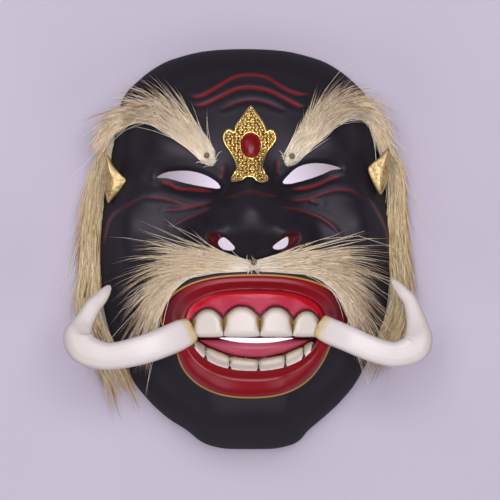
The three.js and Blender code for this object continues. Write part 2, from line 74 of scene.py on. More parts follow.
# Each groove is its half width and its line
RED_GROOVES = [
    (0.8, [(-33.5, 81.8), (-26.1, 80.3), (-17.2, 85), (-7.7, 90.8), (1.8, 92.1), (10.3, 90.3), (18.2, 85),
           (25.6, 81.8), (33, 81.8)]),
    (0.8, [(-30.4, 76), (-24, 76), (-14, 80.8), (-6.1, 84.5), (1.8, 85.2), (10.3, 83.6), (18.2, 79.7),
           (26.1, 75.5), (29.3, 75)]),
    (0.7, [(-47.4, 35.4), (-41.5, 34.2), (-37.3, 32), (-28.9, 31.2), (-17.2, 29.9)]),
    (0.65, [(22.4, 31.4), (30, 32), (36.7, 33.8), (42.7, 36.7), (49.4, 38.8)]),
]
DIM_GROOVES = [
    (0.6, [(-14, 73.4), (-6.1, 77.1), (1.8, 78.4), (10.3, 76.8), (18.2, 73.1)]),
    (0.75, [(-55, 27), (-45.7, 26.8), (-38.2, 24.9), (-31.4, 22.8), (-24.7, 23.2), (-18, 25.3)]),
    (0.45, [(-44.1, 20.4), (-34.8, 21.1), (-25.5, 22.7)]),
    (0.5, [(-18.7, 22), (-25.6, 18.6), (-33.1, 15.6), (-39.9, 11.9)]),
    (0.75, [(20.8, 26), (25.8, 25.5), (31.7, 26.6), (38.4, 29.1), (46, 31), (53.6, 30.6), (61.2, 27.5)]),
    (0.4, [(31.7, 25.5), (37.6, 24.1)]),
    (0.6, [(15.7, 22.4), (23.3, 21.1), (30.9, 19), (37.6, 16.5), (43.5, 12.7), (48.6, 6.9)]),
]
FAINT_CREASES = [
    (0.5, [(-12, 27), (-7.9, 27.5), (-2, 29.6), (4, 29.9), (9, 28.3), (14.9, 27.5)]),
    (0.9, [(-12.9, 44.4), (-13.4, 40.5), (-14.2, 37.1)]),
    (0.9, [(15.7, 47.2), (15.4, 43), (15.3, 39.7)]),
    (0.7, [(-55.2, 26.7), (-63, 23.6), (-68.7, 20.4), (-72.9, 16.3), (-75, 10.6), (-76.6, 2.7)]),
    (0.7, [(63.2, 27.2), (66.9, 21.5), (70, 16.3), (72.6, 10.6), (73.7, 5.3), (74.2, -2.5)]),
]
MOUTH_X = 3.4
MOUTH_Y = -40.0
# Each oval is its upper and lower half width, its reach up and down, the powers of both, and its lean
LIP_EDGE = (49.3, 41.0, 26.3, 37.9, 2.5, 2.4, 2.3)
LIP_INSIDE = (37.0, 34.6, 19.0, 24.0, 2.6, 2.3, 0.7)
UPPER_BORDERS = np.array([-29.5, -13.1, 6.0, 23.2, 37.9])
UPPER_TOPS = np.array([-31.8, -30.5, -30.8, -32.8])
LOWER_BORDERS = np.array([-28.8, -22.4, -9.8, 5.3, 19.3, 29.0, 33.6])
TEETH_BOTTOM = -46.4
FAR = 9.0
CUTTER_LEVELS = (-20.0, 110.0)
FACE_SECTORS = 430
FRONT_RINGS = 160
WALL_RINGS = 34
HOLLOW_RINGS = 16


def smoothstep(start, end, value):
    """0 at start and before, 1 at end and after, and the cubic 3t^2 - 2t^3 of the share t between them."""
    share = np.clip((value - start) / (end - start), 0, 1)
    return share * share * (3 - 2 * share)


def bell(x, y, middle_x, middle_y, spread_x, spread_y):
    """Rounded hill: e to the minus square of the distance from its middle, in spreads."""
    return np.exp(-((x - middle_x) / spread_x) ** 2 - ((y - middle_y) / spread_y) ** 2)


def knob(x, y, middle_x, middle_y, spread_x, spread_y):
    """Hill with a flatter top and steeper sides: e to the minus 2.5th power of that distance."""
    return np.exp(-(((x - middle_x) / spread_x) ** 2 + ((y - middle_y) / spread_y) ** 2) ** 1.25)


def smooth_line(points, count, closed=False):
    """Points along a Catmull-Rom curve: each span is the cubic through its ends with slopes half the step
    between the neighbours on either side."""
    points = np.asarray(points, float)
    if closed:
        knots = np.concatenate([points[-1:], points, points[:2]])
    else:
        knots = np.concatenate([2 * points[:1] - points[1:2], points, 2 * points[-1:] - points[-2:-1]])
    spans = len(knots) - 3
    place = np.linspace(0, spans, count, endpoint=not closed)
    span = np.minimum(place.astype(int), spans - 1)
    part = (place - span)[:, None]
    a, b, c, d = (knots[span + step] for step in range(4))
    return b + 0.5 * part * (c - a + part * (2 * a - 5 * b + 4 * c - d + part * (3 * (b - c) + d - a)))


def line_distance(x, y, line):
    """Distance from each place to the nearest of a line's straight pieces, and the line's share there."""
    start, step = line[:-1], np.diff(line, axis=0)
    across = x[:, None] - start[:, 0]
    up = y[:, None] - start[:, 1]
    share = np.clip((across * step[:, 0] + up * step[:, 1]) / (step ** 2).sum(1), 0, 1)
    gap = np.hypot(across - share * step[:, 0], up - share * step[:, 1])
    nearest = gap.argmin(1)
    row = np.arange(len(x))
    return gap[row, nearest], (nearest + share[row, nearest]) / len(step)


def nearest_groove(x, y, grooves):
    """Distance to the nearest groove's middle, made greater where the groove runs out, and the plain
    distance less its half width, which tapers to nothing at both ends. Places further off keep FAR."""
    gap = np.full(len(x), FAR)
    edge = np.full(len(x), FAR)
    for half, points in grooves:
        line = smooth_line(points, 6 * len(points))
        low, high = line.min(0) - FAR, line.max(0) + FAR
        near = np.flatnonzero((x > low[0]) & (x < high[0]) & (y > low[1]) & (y < high[1]))
        away, along = line_distance(x[near], y[near], line)
        taper = np.clip(np.minimum(along, 1 - along) / 0.14, 0, 1) ** 0.7
        gap[near] = np.minimum(gap[near], away + 1.2 * (1 - taper))
        edge[near] = np.minimum(edge[near], away - half * (1.3 * taper - 0.3))
    return gap, edge


face_loop = np.concatenate([[(0, FACE_HALF_HEIGHT)], HALF_OUTLINE, HALF_OUTLINE[::-1] * (-1, 1)])
face_loop[:, 0] += CHIN_LEAN * smoothstep(-88, -104, face_loop[:, 1])
rim_points = smooth_line(face_loop, 1440, closed=True)
rim_turns = np.arctan2(rim_points[:, 0], rim_points[:, 1])
rim_reach = np.hypot(rim_points[:, 0], rim_points[:, 1])


def rim_radius(turn):
    """Reach of the outline from the middle of the face, by the turn from straight up."""
    return np.interp(turn, rim_turns[rim_turns.argsort()], rim_reach[rim_turns.argsort()], period=2 * np.pi)


def dome_power(turn):
    """Squareness of the dome's profile, which grows towards the chin."""
    return 3.0 + 1.6 * np.maximum(0, -np.cos(turn)) ** 3


def face_height(x, y):
    """Outer surface of the wood before the fine carving: a dome over the outline, plus hills and hollows
    for nose, wings, cheeks, brow bones, muzzle, chin and eye trenches, which fade out at the rim."""
    turn = np.arctan2(x - FACE_CENTRE_X, y)
    share = np.hypot(x - FACE_CENTRE_X, y) / rim_radius(turn)
    dome = DOME_HEIGHT * np.maximum(0, 1 - share ** dome_power(turn)) ** (1 / DOME_ROUNDNESS)
    u = x - 1.2 - 3.2 * np.exp(-((y + 42) / 38) ** 2)
    v = np.abs(u)
    # Nose and bridge, wings, cheeks and brow bones, muzzle and chin, each by height, middle and spread
    hills = 19 * knob(u, y, 0, 15.5, 17.5, 16) + 7 * bell(u, y, 0, 35, 10, 12)
    hills += 11 * knob(v, y, 21.5, 7, 9.5, 8.5)
    hills += 14 * bell(np.abs(x - FACE_CENTRE_X), y, 66, 13, 16, 20) + 6 * bell(v, y, 51, 55, 22, 15)
    hills += 11 * bell(u, y, 0, -52, 50, 38) + 9 * bell(u, y, 0, -93, 40, 15)
    for middle_x, middle_y, slope in EYE_MIDDLES:
        hills -= 7 * bell(x, y - slope * (x - middle_x), middle_x, middle_y + 0.5, 23, 7)
    return dome + (1 - smoothstep(0.88, 1, share)) * hills


def hollow_height(x, y):
    """Inner surface: a lower dome over the outline less the rim, with room for the nose."""
    turn = np.arctan2(x - FACE_CENTRE_X, y)
    share = np.minimum(1, np.hypot(x - FACE_CENTRE_X, y) / (rim_radius(turn) - RIM_WIDTH))
    dome = HOLLOW_HEIGHT * np.maximum(0, 1 - share ** dome_power(turn)) ** (1 / DOME_ROUNDNESS)
    return dome + NOSE_ROOM * bell(x, y, 2, 14, 14, 16) * (1 - share ** 4)


def mouth_oval(x, y, upper_half, lower_half, up, down, power_up, power_down, lean):
    """Level of a superellipse about the mouth, narrower in its lower half, which leans to the left: 1 on
    its edge. With it the distance from that edge in mm, below 0 inside: level less 1, over its slope."""
    half_width = upper_half + (lower_half - upper_half) * smoothstep(-37, -53, y)
    across = np.abs(x - MOUTH_X + lean * smoothstep(-40, -66, y)) / half_width
    tall = np.where(y > MOUTH_Y, up, down)
    over = np.abs(y - MOUTH_Y) / tall
    power = np.where(y > MOUTH_Y, power_up, power_down)
    total = across ** power + over ** power + 1e-9
    level = total ** (1 / power)
    slope = level / total * np.hypot(across ** (power - 1) / half_width, over ** (power - 1) / tall)
    return level, (level - 1) / np.maximum(slope, 1e-3)


def teeth_row(x, borders):
    """Number of the tooth at each place, its half width, and the share across it from -1 to 1."""
    tooth = np.clip(np.searchsorted(borders, x) - 1, 0, len(borders) - 2)
    half = (borders[tooth + 1] - borders[tooth]) / 2
    return tooth, half, (x - borders[tooth] - half) / half


def carved_front(x, y):
    """Height of the finished front, and by name the marks that the paint follows, as distances in mm or as
    shares. Grooves are narrow valleys between low ridges, lips are rolls between two ovals, and teeth are
    pillows on a curved arch."""
    z = face_height(x, y)
    marks = {}
    turn = np.arctan2(x - FACE_CENTRE_X, y)
    marks["side"] = smoothstep(0.8, 0.95, np.hypot(x - FACE_CENTRE_X, y) / rim_radius(turn))
    # Grooves, creases, eyelids and nostrils
    for name, grooves in [("groove", RED_GROOVES), ("dim_groove", DIM_GROOVES)]:
        gap, marks[name] = nearest_groove(x, y, grooves)
        z += 0.2 * np.exp(-((gap - 3.2) / 1.7) ** 2) - 0.55 * np.exp(-(gap / 1.1) ** 2)
    gap, marks["crease"] = nearest_groove(x, y, FAINT_CREASES)
    z -= 0.6 * np.exp(-(gap / 1.6) ** 2)
    for outline in EYE_OUTLINES:
        gap, _ = line_distance(x, y, np.concatenate([outline, outline[:1]]))
        z += 0.6 * np.exp(-((gap - 2.4) / 1.5) ** 2)
    marks["nostril"] = np.full(len(x), FAR)
    for middle_x, middle_y, slope in NOSTRIL_RECESSES:
        along = (x - middle_x) + slope * (y - middle_y)
        over = (y - middle_y) - slope * (x - middle_x)
        level = np.hypot(along / 8.4, over / 4.6)
        z -= 5.0 * (1 - smoothstep(0.35, 1.15, level))
        marks["nostril"] = np.minimum(marks["nostril"], (level - 1) * 5)

    # Lips
    ground = z.copy()
    _, marks["lip_edge"] = mouth_oval(x, y, *LIP_EDGE)
    level, marks["mouth_edge"] = mouth_oval(x, y, *LIP_INSIDE)
    within = np.maximum(0, -marks["lip_edge"])
    band = within / np.maximum(1e-3, within + np.maximum(0, marks["mouth_edge"]))
    lower = smoothstep(-34, -46, y)
    upper_roll = 0.7 * smoothstep(0, 0.2, band) - 4.2 * smoothstep(0.4, 1, band)
    crest = 1 - np.abs(2 * band ** 0.9 - 1) ** 3
    lower_roll = 3.4 * crest * smoothstep(-44, -58, y) - 2.2 * smoothstep(0.6, 1, band)
    z += (1 - lower) * upper_roll + lower * lower_roll

    # Outlines of teeth, gum and tongue
    arch = 60.5 - 7 * ((x - MOUTH_X) / 34) ** 2
    tooth, half, across = teeth_row(x, UPPER_BORDERS)
    steep = np.hypot(1, 15.2 * np.abs(across) ** 1.3 / half)
    arch_gap = (UPPER_TOPS[tooth] - 6.6 * np.abs(across) ** 2.3 - y) / steep
    bottom = TEETH_BOTTOM + 1.0 * np.abs(across) ** 4
    sides = (1 - np.abs(across)) * half - 0.1
    upper_body = np.minimum(arch_gap, y - bottom)
    upper_tooth = np.minimum(sides, upper_body)
    upper_stain = smoothstep(0.3 + 3.4 * smoothstep(-46, -37, y), 0, sides) * smoothstep(-46.4, -42, y)
    upper_stain = np.maximum(upper_stain, 0.6 * smoothstep(2.4, 0.1, arch_gap))
    tongue_low = -57 + 6.8 * ((x - 3) / 25.5) ** 2
    _, half, across = teeth_row(x, LOWER_BORDERS)
    lower_top = tongue_low - 0.7 - 1.0 * np.abs(across) ** 4
    lower_sides = (1 - np.abs(across)) * half - 0.1 - 0.8 * smoothstep(2, 0, -marks["mouth_edge"])
    lower_body = np.minimum(lower_top - y, -marks["mouth_edge"] - 0.1)
    lower_tooth = np.minimum(lower_sides, lower_body)
    upper = y > TEETH_BOTTOM - 0.3
    wobble = 0.3 * np.sin(1.9 * x) * np.sin(1.3 * x + y)
    marks["arch"] = np.where(upper, arch_gap + wobble, -FAR)
    marks["tooth"] = np.where(upper, upper_body, lower_body)
    marks["seam"] = np.where(marks["tooth"] > -0.3, np.where(upper, sides, lower_sides), FAR)
    marks["stain"] = np.where(upper, upper_stain, 0.55 * smoothstep(6.4, 0.3, lower_top - y))
    marks["stain"] = marks["stain"] * smoothstep(-0.4, 0.2, marks["tooth"])
    # The upper lip's ends, painted darker as painted shade where the lip turns in
    corner = (1 - lower) * smoothstep(28, 45, np.abs(x - MOUTH_X))
    marks["lip_corner_shade"] = corner * smoothstep(-0.2, -0.6, marks["lip_edge"])
    marks["tongue"] = np.minimum(y - tongue_low, -47.6 - y)
    marks["gum"] = np.minimum(y - TEETH_BOTTOM, -marks["mouth_edge"] - 0.6)
    marks["gum_pink"] = smoothstep(2.8, 6.0, -marks["mouth_edge"]) * smoothstep(0, 1, y - TEETH_BOTTOM)

    # Heights inside the mouth
    pillow = 0.5 + 2.4 * (1 - (1 - np.clip(upper_tooth / 3.6, 0, 1)) ** 2)
    swell = (1 - teeth_row(x, UPPER_BORDERS)[2] ** 2) ** 2 * np.exp(-((arch_gap + 3.2) / 2.2) ** 2)
    gum = 1.2 + 0.9 * swell - 0.9 * np.exp(-((upper_tooth + 0.3) / 0.9) ** 2)
    upper_row = arch + np.where(upper_tooth > 0, pillow, gum)
    low_pillow = -4.2 + 1.4 * (1 - (1 - np.clip(lower_tooth / 1.6, 0, 1)) ** 2)
    tongue = -7.5 + 2.6 * np.sqrt(np.clip(marks["tongue"] / 5, 0, 1))
    lower_row = arch + np.where(lower_tooth > 0, low_pillow, tongue)
    below = smoothstep(TEETH_BOTTOM + 0.2, TEETH_BOTTOM - 0.6, y)
    inside = upper_row * (1 - below) + lower_row * below
    deep = smoothstep(0, 0.14, 1 - level)
    floor = (1 - deep) * (ground - 3.4 + 1.6 * lower) + deep * inside
    return np.where(marks["mouth_edge"] < 0, floor, z), marks


def closed_form(rings, first, last):
    """Points and triangles of a closed form: rings of equal count joined one to the next, and each end
    closed to a pole. Its faces are turned outwards by the sign of the volume that they enclose."""
    count, around = rings.shape[:2]
    points = np.concatenate([rings.reshape(-1, 3), [first], [last]])
    here = np.arange(around)
    ahead = (here + 1) % around
    row = np.arange(count - 1)[:, None] * around
    a, b, c, d = (row + here, row + ahead, row + around + ahead, row + around + here)
    end = (count - 1) * around
    pole = np.full(around, count * around)
    triangles = np.concatenate([
        np.stack([a, b, c], -1).reshape(-1, 3),
        np.stack([a, c, d], -1).reshape(-1, 3),
        np.stack([pole, ahead, here], -1),
        np.stack([pole + 1, end + here, end + ahead], -1),
    ])
    corners = points[triangles] - points.mean(0)
    volume = np.einsum("ij,ij->i", corners[:, 0], np.cross(corners[:, 1], corners[:, 2])).sum()
    return points, triangles if volume > 0 else triangles[:, ::-1]


def make_piece(name, points, triangles):
    """Smooth-shaded object at the origin from points in mm and their triangles."""
    mesh = bpy.data.meshes.new(name)
    mesh.vertices.add(len(points))
    mesh.vertices.foreach_set("co", (np.asarray(points) * 0.001).astype(np.float32).ravel())
    mesh.loops.add(3 * len(triangles))
    mesh.loops.foreach_set("vertex_index", triangles.astype(np.int32).ravel())
    mesh.polygons.add(len(triangles))
    mesh.polygons.foreach_set("loop_start", np.arange(0, 3 * len(triangles), 3, dtype=np.int32))
    mesh.polygons.foreach_set("use_smooth", np.ones(len(triangles), bool))
    mesh.update(calc_edges=True)
    mesh.validate()
    piece = bpy.data.objects.new(name, mesh)
    bpy.context.scene.collection.objects.link(piece)
    return piece


def vertex_places(mesh):
    """Every vertex of a mesh as x, y, z in mm."""
    places = np.empty(3 * len(mesh.vertices), np.float32)
    mesh.vertices.foreach_get("co", places)
    return places.reshape(-1, 3).astype(float) * 1000


def set_marks(mesh, marks):
    """Stores each named array as a number on every vertex."""
    for name, values in marks.items():
        attribute = mesh.attributes.new(name, "FLOAT", "POINT")
        attribute.data.foreach_set("value", values.astype(np.float32))


# The front is rings about the middle of the face, their points closer together towards the mouth. Rings on
# the steep side wall are evenly spaced in height, then come the flat rim and the rings of the hollow.
lap = np.linspace(-np.pi, np.pi, FACE_SECTORS, endpoint=False)
turns = np.pi + lap - 0.35 * np.sin(lap)
turns = np.arctan2(np.sin(turns), np.cos(turns))
reach = rim_radius(turns)
wall_drop = np.linspace(0.66, 0, WALL_RINGS + 1)[:, None]
wall_share = (1 - wall_drop ** DOME_ROUNDNESS) ** (1 / dome_power(turns))
front_share = wall_share[:1] * np.linspace(0, 1, FRONT_RINGS + 1)[1:-1, None]
share = np.concatenate([front_share, wall_share])
front_x = FACE_CENTRE_X + reach * share * np.sin(turns)
front_y = reach * share * np.cos(turns)
front_z, _ = carved_front(front_x.ravel(), front_y.ravel())
front = np.stack([front_x, front_y, front_z.reshape(front_x.shape)], -1)
front[-1, :, 2] = 0
drop = np.linspace(0, 1, HOLLOW_RINGS + 1)[:-1, None]
share = (1 - drop ** DOME_ROUNDNESS) ** (1 / dome_power(turns))
hollow_x = FACE_CENTRE_X + (reach - RIM_WIDTH) * share * np.sin(turns)
hollow_y = (reach - RIM_WIDTH) * share * np.cos(turns)
hollow = np.stack([hollow_x, hollow_y, hollow_height(hollow_x, hollow_y)], -1)
hollow[0, :, 2] = 0
middle = np.array([FACE_CENTRE_X])
nose = (FACE_CENTRE_X, 0, carved_front(middle, np.zeros(1))[0][0])
behind = (FACE_CENTRE_X, 0, hollow_height(middle, np.zeros(1))[0])
face = make_piece("carved_face", *closed_form(np.concatenate([front, hollow]), nose, behind))

cutter_points = []
cutter_triangles = []
for outline in EYE_OUTLINES + NOSTRIL_HOLES + [MOUTH_SLIT]:
    loop = smooth_line(outline, 8 * len(outline), closed=True)
    levels = np.stack([np.column_stack([loop, np.full(len(loop), z)]) for z in CUTTER_LEVELS])
    ends = [(*loop.mean(0), z) for z in CUTTER_LEVELS]
    points, triangles = closed_form(levels, *ends)
    cutter_triangles.append(triangles + sum(map(len, cutter_points)))
    cutter_points.append(points)
cutter = make_piece("opening_cutter", np.concatenate(cutter_points), np.concatenate(cutter_triangles))
cut = face.modifiers.new("openings", "BOOLEAN")
cut.object = cutter
cut.solver = "MANIFOLD"
depsgraph = bpy.context.evaluated_depsgraph_get()
face.data = bpy.data.meshes.new_from_object(face.evaluated_get(depsgraph))
face.modifiers.clear()
bpy.data.objects.remove(cutter)
face.data.set_sharp_from_angle(angle=np.radians(50))
places = vertex_places(face.data)
set_marks(face.data, carved_front(places[:, 0], places[:, 1])[1])


def linear(colour):
    """Linear colour of an sRGB hex value: c is c/12.92 up to 0.04045, else ((c + 0.055)/1.055)^2.4."""
    channels = [int(colour[i : i + 2], 16) / 255 for i in (1, 3, 5)]
    return [c / 12.92 if c <= 0.04045 else ((c + 0.055) / 1.055) ** 2.4 for c in channels] + [1.0]


def fill_inputs(tree, node, inputs):
    """Gives a node's inputs their plain values, or links them to other nodes' outputs."""
    for name, value in inputs.items():
        if isinstance(value, bpy.types.NodeSocket):
            tree.links.new(value, node.inputs[name])
        else:
            node.inputs[name].default_value = value


def add_node(tree, kind, inputs=None, **settings):
    """Adds one node with its settings and inputs."""
    node = tree.nodes.new("ShaderNode" + kind)
    for name, value in settings.items():
        setattr(node, name, value)
    fill_inputs(tree, node, inputs or {})
    return node


def new_material(name):
    """Node material, its tree, and its shader, which is joined to the output and has no inputs filled."""
    material = bpy.data.materials.new(name)
    material.use_nodes = True
    tree = material.node_tree
    tree.nodes.clear()
    shader = add_node(tree, "BsdfPrincipled")
    add_node(tree, "OutputMaterial", {"Surface": shader.outputs[0]})
    return material, tree, shader


# Satin black paint with coloured enamels: a black film with a soft wide gloss, duller on the steep sides and
# painted a little darker there as painted shade, blood red in the grooves and shinier on lips, gum, tongue
# and teeth. Each coat gives its mark, the two values of the mark between which it comes to cover what is
# below, its colour and its roughness.
paint, tree, shader = new_material("satin black paint and mouth enamels")
spot = add_node(tree, "TexCoord").outputs["Object"]
cloud = add_node(tree, "TexNoise", {"Vector": spot, "Scale": 1000 / 14, "Detail": 4.0}).outputs["Fac"]
shade = add_node(tree, "Mix", {0: cloud, 6: linear("#18151b"), 7: linear("#211d24")}, data_type="RGBA")
colour = shade.outputs[2]
sheen = add_node(tree, "MapRange", {"Value": cloud, "To Min": 0.48, "To Max": 0.56}).outputs["Result"]
COATS = [
    # Steep sides: rougher, and a little darker than the black as painted shade.
    ("side", 0.0, 1.0, "#151318", 0.85),
    ("crease", 1.2, -1.0, "#4a2023", 0.5),
    ("nostril", 0.6, -1.6, "#4a0d10", 0.5),
    ("dim_groove", 0.5, -0.5, "#58141c", 0.5),
    ("groove", 0.5, -0.5, "#82161f", 0.5),
    ("lip_edge", 0.55, 0.3, "#b98a3a", 0.4),
    ("lip_edge", -0.25, -0.5, "#87111a", 0.3),
    # Upper lip's ends painted dark red: painted shade where the lip turns in.
    ("lip_corner_shade", 0.0, 1.4, "#4a080d", 0.6),
    # Dark red laid first over the whole mouth inside the lips: painted shade in its depths, left showing as a
    # thin line along the lips' inner edge and wherever gum, tongue and teeth leave it bare.
    ("mouth_edge", 0.35, -0.3, "#5c0b12", 0.35),
    ("gum", 0.0, 0.5, "#bd1120", 0.3),
    ("gum_pink", 0.0, 1.0, "#b42642", 0.5),
    ("tongue", -1.3, -1.0, "#520a11", 0.35),
    ("tongue", 0.0, 0.5, "#b04559", 0.32),
    ("arch", -1.8, -1.3, "#5d1626", 0.3),
    ("tooth", -0.1, 0.2, "#dfd3cd", 0.25),
    ("stain", 0.05, 0.9, "#93773b", 0.36),
    ("seam", 0.3, 0.0, "#43301c", 0.32),
]
for mark, start, end, tint, gloss in COATS:
    amount = add_node(tree, "Attribute", attribute_name=mark).outputs["Fac"]
    limits = {"Value": amount, "From Min": start, "From Max": end}
    cover = add_node(tree, "MapRange", limits, interpolation_type="SMOOTHSTEP").outputs["Result"]
    colour = add_node(tree, "Mix", {0: cover, 6: colour, 7: linear(tint)}, data_type="RGBA").outputs[2]
    sheen = add_node(tree, "Mix", {0: cover, 2: sheen, 3: gloss}).outputs[0]
grain = add_node(tree, "TexNoise", {"Vector": spot, "Scale": 1000 / 1.6, "Detail": 3.0}).outputs["Fac"]
bump = add_node(tree, "Bump", {"Height": grain, "Strength": 0.05, "Distance": 0.0004}).outputs["Normal"]
coat = {
    "Base Color": colour,
    "Roughness": sheen,
    "Specular IOR Level": 0.4,
    "Specular Tint": linear("#f3e6fb"),
    "Normal": bump,
}
fill_inputs(tree, shader, coat)

# Bare pule wood in the hollow: pale, dry and unfinished, with the knife's shallow 9 mm facets.
bare_wood, tree, shader = new_material("bare carved pule wood")
spot = add_node(tree, "TexCoord").outputs["Object"]
along = add_node(tree, "Mapping", {"Vector": spot, "Scale": (1.0, 0.12, 1.0)}).outputs["Vector"]
fibre = add_node(tree, "TexNoise", {"Vector": along, "Scale": 1000 / 2.5, "Detail": 5.0}).outputs["Fac"]
tones = {0: fibre, 6: linear("#b48e5c"), 7: linear("#d9bd8e")}
colour = add_node(tree, "Mix", tones, data_type="RGBA").outputs[2]
cells = {"Vector": spot, "Scale": 1000 / 9}
facets = add_node(tree, "TexVoronoi", cells, feature="SMOOTH_F1").outputs["Distance"]
bump = add_node(tree, "Bump", {"Height": facets, "Strength": 0.7, "Distance": 0.0012}).outputs["Normal"]
fill_inputs(tree, shader, {"Base Color": colour, "Roughness": 0.75, "Normal": bump})

# Faces of bare wood lie well below the front and on the hollow's surface, or on the rim at floor level.
face.data.materials.clear()
face.data.materials.append(paint)
face.data.materials.append(bare_wood)
centres = np.empty(3 * len(face.data.polygons), np.float32)
face.data.polygons.foreach_get("center", centres)
centres = centres.reshape(-1, 3).astype(float) * 1000
deep = centres[:, 2] < face_height(centres[:, 0], centres[:, 1]) - 4
inner = deep & (np.abs(centres[:, 2] - hollow_height(centres[:, 0], centres[:, 1])) < 1.2)
face.data.polygons.foreach_set("material_index", (inner | (centres[:, 2] < 0.01)).astype(np.int32))
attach(face, "root")
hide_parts("face_shell")

# Tusks. Two curled fangs of painted wood, their roots let into the corners of the mouth. They are a little
# flatter from front to back and run out to a point, and the left one is the stouter.
TUSK_STATIONS = {
    "tusk_left": [
        (-30, -42.3, 53, 6.4), (-36, -45.2, 56, 7.9), (-46.7, -49.8, 60, 7.8), (-57.3, -53.3, 61, 7.6),
        (-70, -56, 60.5, 7.2), (-78.7, -55.4, 59.5, 7.8), (-86.2, -52, 58.3, 8.5), (-89.2, -46, 57.6, 8.2),
        (-87.6, -40.8, 57, 6.2), (-85.4, -36.6, 56.5, 5.0), (-81.5, -30, 55.5, 4.4), (-77.8, -26, 54.8, 3.6),
        (-75, -22.4, 54.2, 2.7), (-72.6, -19, 53.5, 1.0)],
    "tusk_right": [
        (38.2, -40.6, 53, 6.4), (43, -43.2, 56, 6.9), (53.6, -47.6, 60, 6.9), (62.6, -51.6, 60.8, 6.7),
        (71.5, -54.5, 60.8, 6.6), (78.4, -55, 60, 6.9), (86.4, -52.2, 58.7, 8), (89, -46.8, 57.8, 7.7),
        (88.4, -39.6, 57, 5.8), (87, -33.7, 56.3, 4.7), (84.7, -27.1, 55.5, 3.8), (81.3, -22.9, 55, 3.2),
        (78.3, -19.4, 54.3, 2.4), (75, -15.8, 53.5, 0.9)],
}
TUSK_FLATNESS = 0.82
TUSK_SQUARENESS = 3.6
TUSK_RINGS = 170
TUSK_SIDES = 40


def sweep(path, across, out, around, section=2.0):
    """Rings of a superellipse section carried along a path: each ring's first axis lies square to the path
    in the plane of the face, and its second is square to both. Half sizes are given for every ring."""
    ahead = np.gradient(path, axis=0)
    ahead /= np.linalg.norm(ahead, axis=1)[:, None]
    side = np.column_stack([ahead[:, 1], -ahead[:, 0], np.zeros(len(path))])
    side /= np.linalg.norm(side, axis=1)[:, None]
    up = np.cross(side, ahead)
    turn = np.linspace(0, 2 * np.pi, around, endpoint=False)
    wide = np.sign(np.cos(turn)) * np.abs(np.cos(turn)) ** (2 / section)
    tall = np.sign(np.sin(turn)) * np.abs(np.sin(turn)) ** (2 / section)
    rings = path[:, None] + (across[:, None] * wide)[..., None] * side[:, None]
    return rings + (out[:, None] * tall)[..., None] * up[:, None]


# Ivory-white paint: smooth and slightly glossy, rubbed with ochre at the root, painted greyer from 30 mm out
# to the bend and on to the tip as painted shade, and faintly streaked lengthways.
ivory, tree, shader = new_material("ivory-white paint rubbed with ochre")
spot = add_node(tree, "TexCoord").outputs["Object"]
root = add_node(tree, "Attribute", attribute_name="from_root").outputs["Fac"]
girth = add_node(tree, "Attribute", attribute_name="girth").outputs["Fac"]
lines = add_node(tree, "CombineXYZ", {"X": root, "Y": girth}).outputs["Vector"]
stretch = add_node(tree, "Mapping", {"Vector": lines, "Scale": (0.03, 0.9, 1.0)}).outputs["Vector"]
streak = add_node(tree, "TexNoise", {"Vector": stretch, "Scale": 1.0, "Detail": 3.0}).outputs["Fac"]
tones = {0: streak, 6: linear("#eae0e2"), 7: linear("#dacdce")}
colour = add_node(tree, "Mix", tones, data_type="RGBA").outputs[2]
# Greyer from 30 mm to 66 mm from the root and on to the tip: painted shade.
limits = {"Value": root, "From Min": 30.0, "From Max": 66.0, "To Max": 0.48}
bend_shade = add_node(tree, "MapRange", limits).outputs["Result"]
colour = add_node(tree, "Mix", {0: bend_shade, 6: colour, 7: linear("#b8a8a4")}, data_type="RGBA").outputs[2]
uneven = add_node(tree, "TexNoise", {"Vector": spot, "Scale": 1000 / 3, "Detail": 3.0}).outputs["Fac"]
edge = add_node(tree, "Math", {0: uneven, 1: 5.0, 2: root}, operation="MULTIPLY_ADD").outputs[0]
for start, end, tint in [(10.0, 4.5, "#d6c08e"), (5.2, 2.2, "#9c7b41")]:
    limits = {"Value": edge, "From Min": start, "From Max": end}
    cover = add_node(tree, "MapRange", limits, interpolation_type="SMOOTHSTEP").outputs["Result"]
    colour = add_node(tree, "Mix", {0: cover, 6: colour, 7: linear(tint)}, data_type="RGBA").outputs[2]
gloss = add_node(tree, "MapRange", {"Value": streak, "To Min": 0.28, "To Max": 0.4}).outputs["Result"]
bump = add_node(tree, "Bump", {"Height": streak, "Strength": 0.15, "Distance": 0.0004}).outputs["Normal"]
fill_inputs(tree, shader, {"Base Color": colour, "Roughness": gloss, "Normal": bump})

for name, stations in TUSK_STATIONS.items():
    line = smooth_line(stations, TUSK_RINGS)
    ring = np.arange(TUSK_RINGS)
    half = line[:, 3] * np.minimum(1, (ring / 2.0 + 0.2) ** 0.5)
    half = half * np.minimum(1, ((TUSK_RINGS - 1 - ring) / 4.0 + 0.05) ** 0.5)
    rings = sweep(line[:, :3], half, half * TUSK_FLATNESS, TUSK_SIDES, TUSK_SQUARENESS)
    tusk = make_piece(name + "_carved", *closed_form(rings, line[0, :3], line[-1, :3]))
    run = np.concatenate([[0], np.cumsum(np.linalg.norm(np.diff(line[:, :3], axis=0), axis=1))])
    girth = np.linspace(0, 2 * np.pi, TUSK_SIDES, endpoint=False)
    marks = {"from_root": np.append(np.repeat(run, TUSK_SIDES), [0, run[-1]])}
    marks["girth"] = np.append(np.tile(7 * np.abs(girth - np.pi), TUSK_RINGS), [0, 0])
    set_marks(tusk.data, marks)
    tusk.data.materials.append(ivory)
    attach(tusk, "root")
    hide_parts(name)

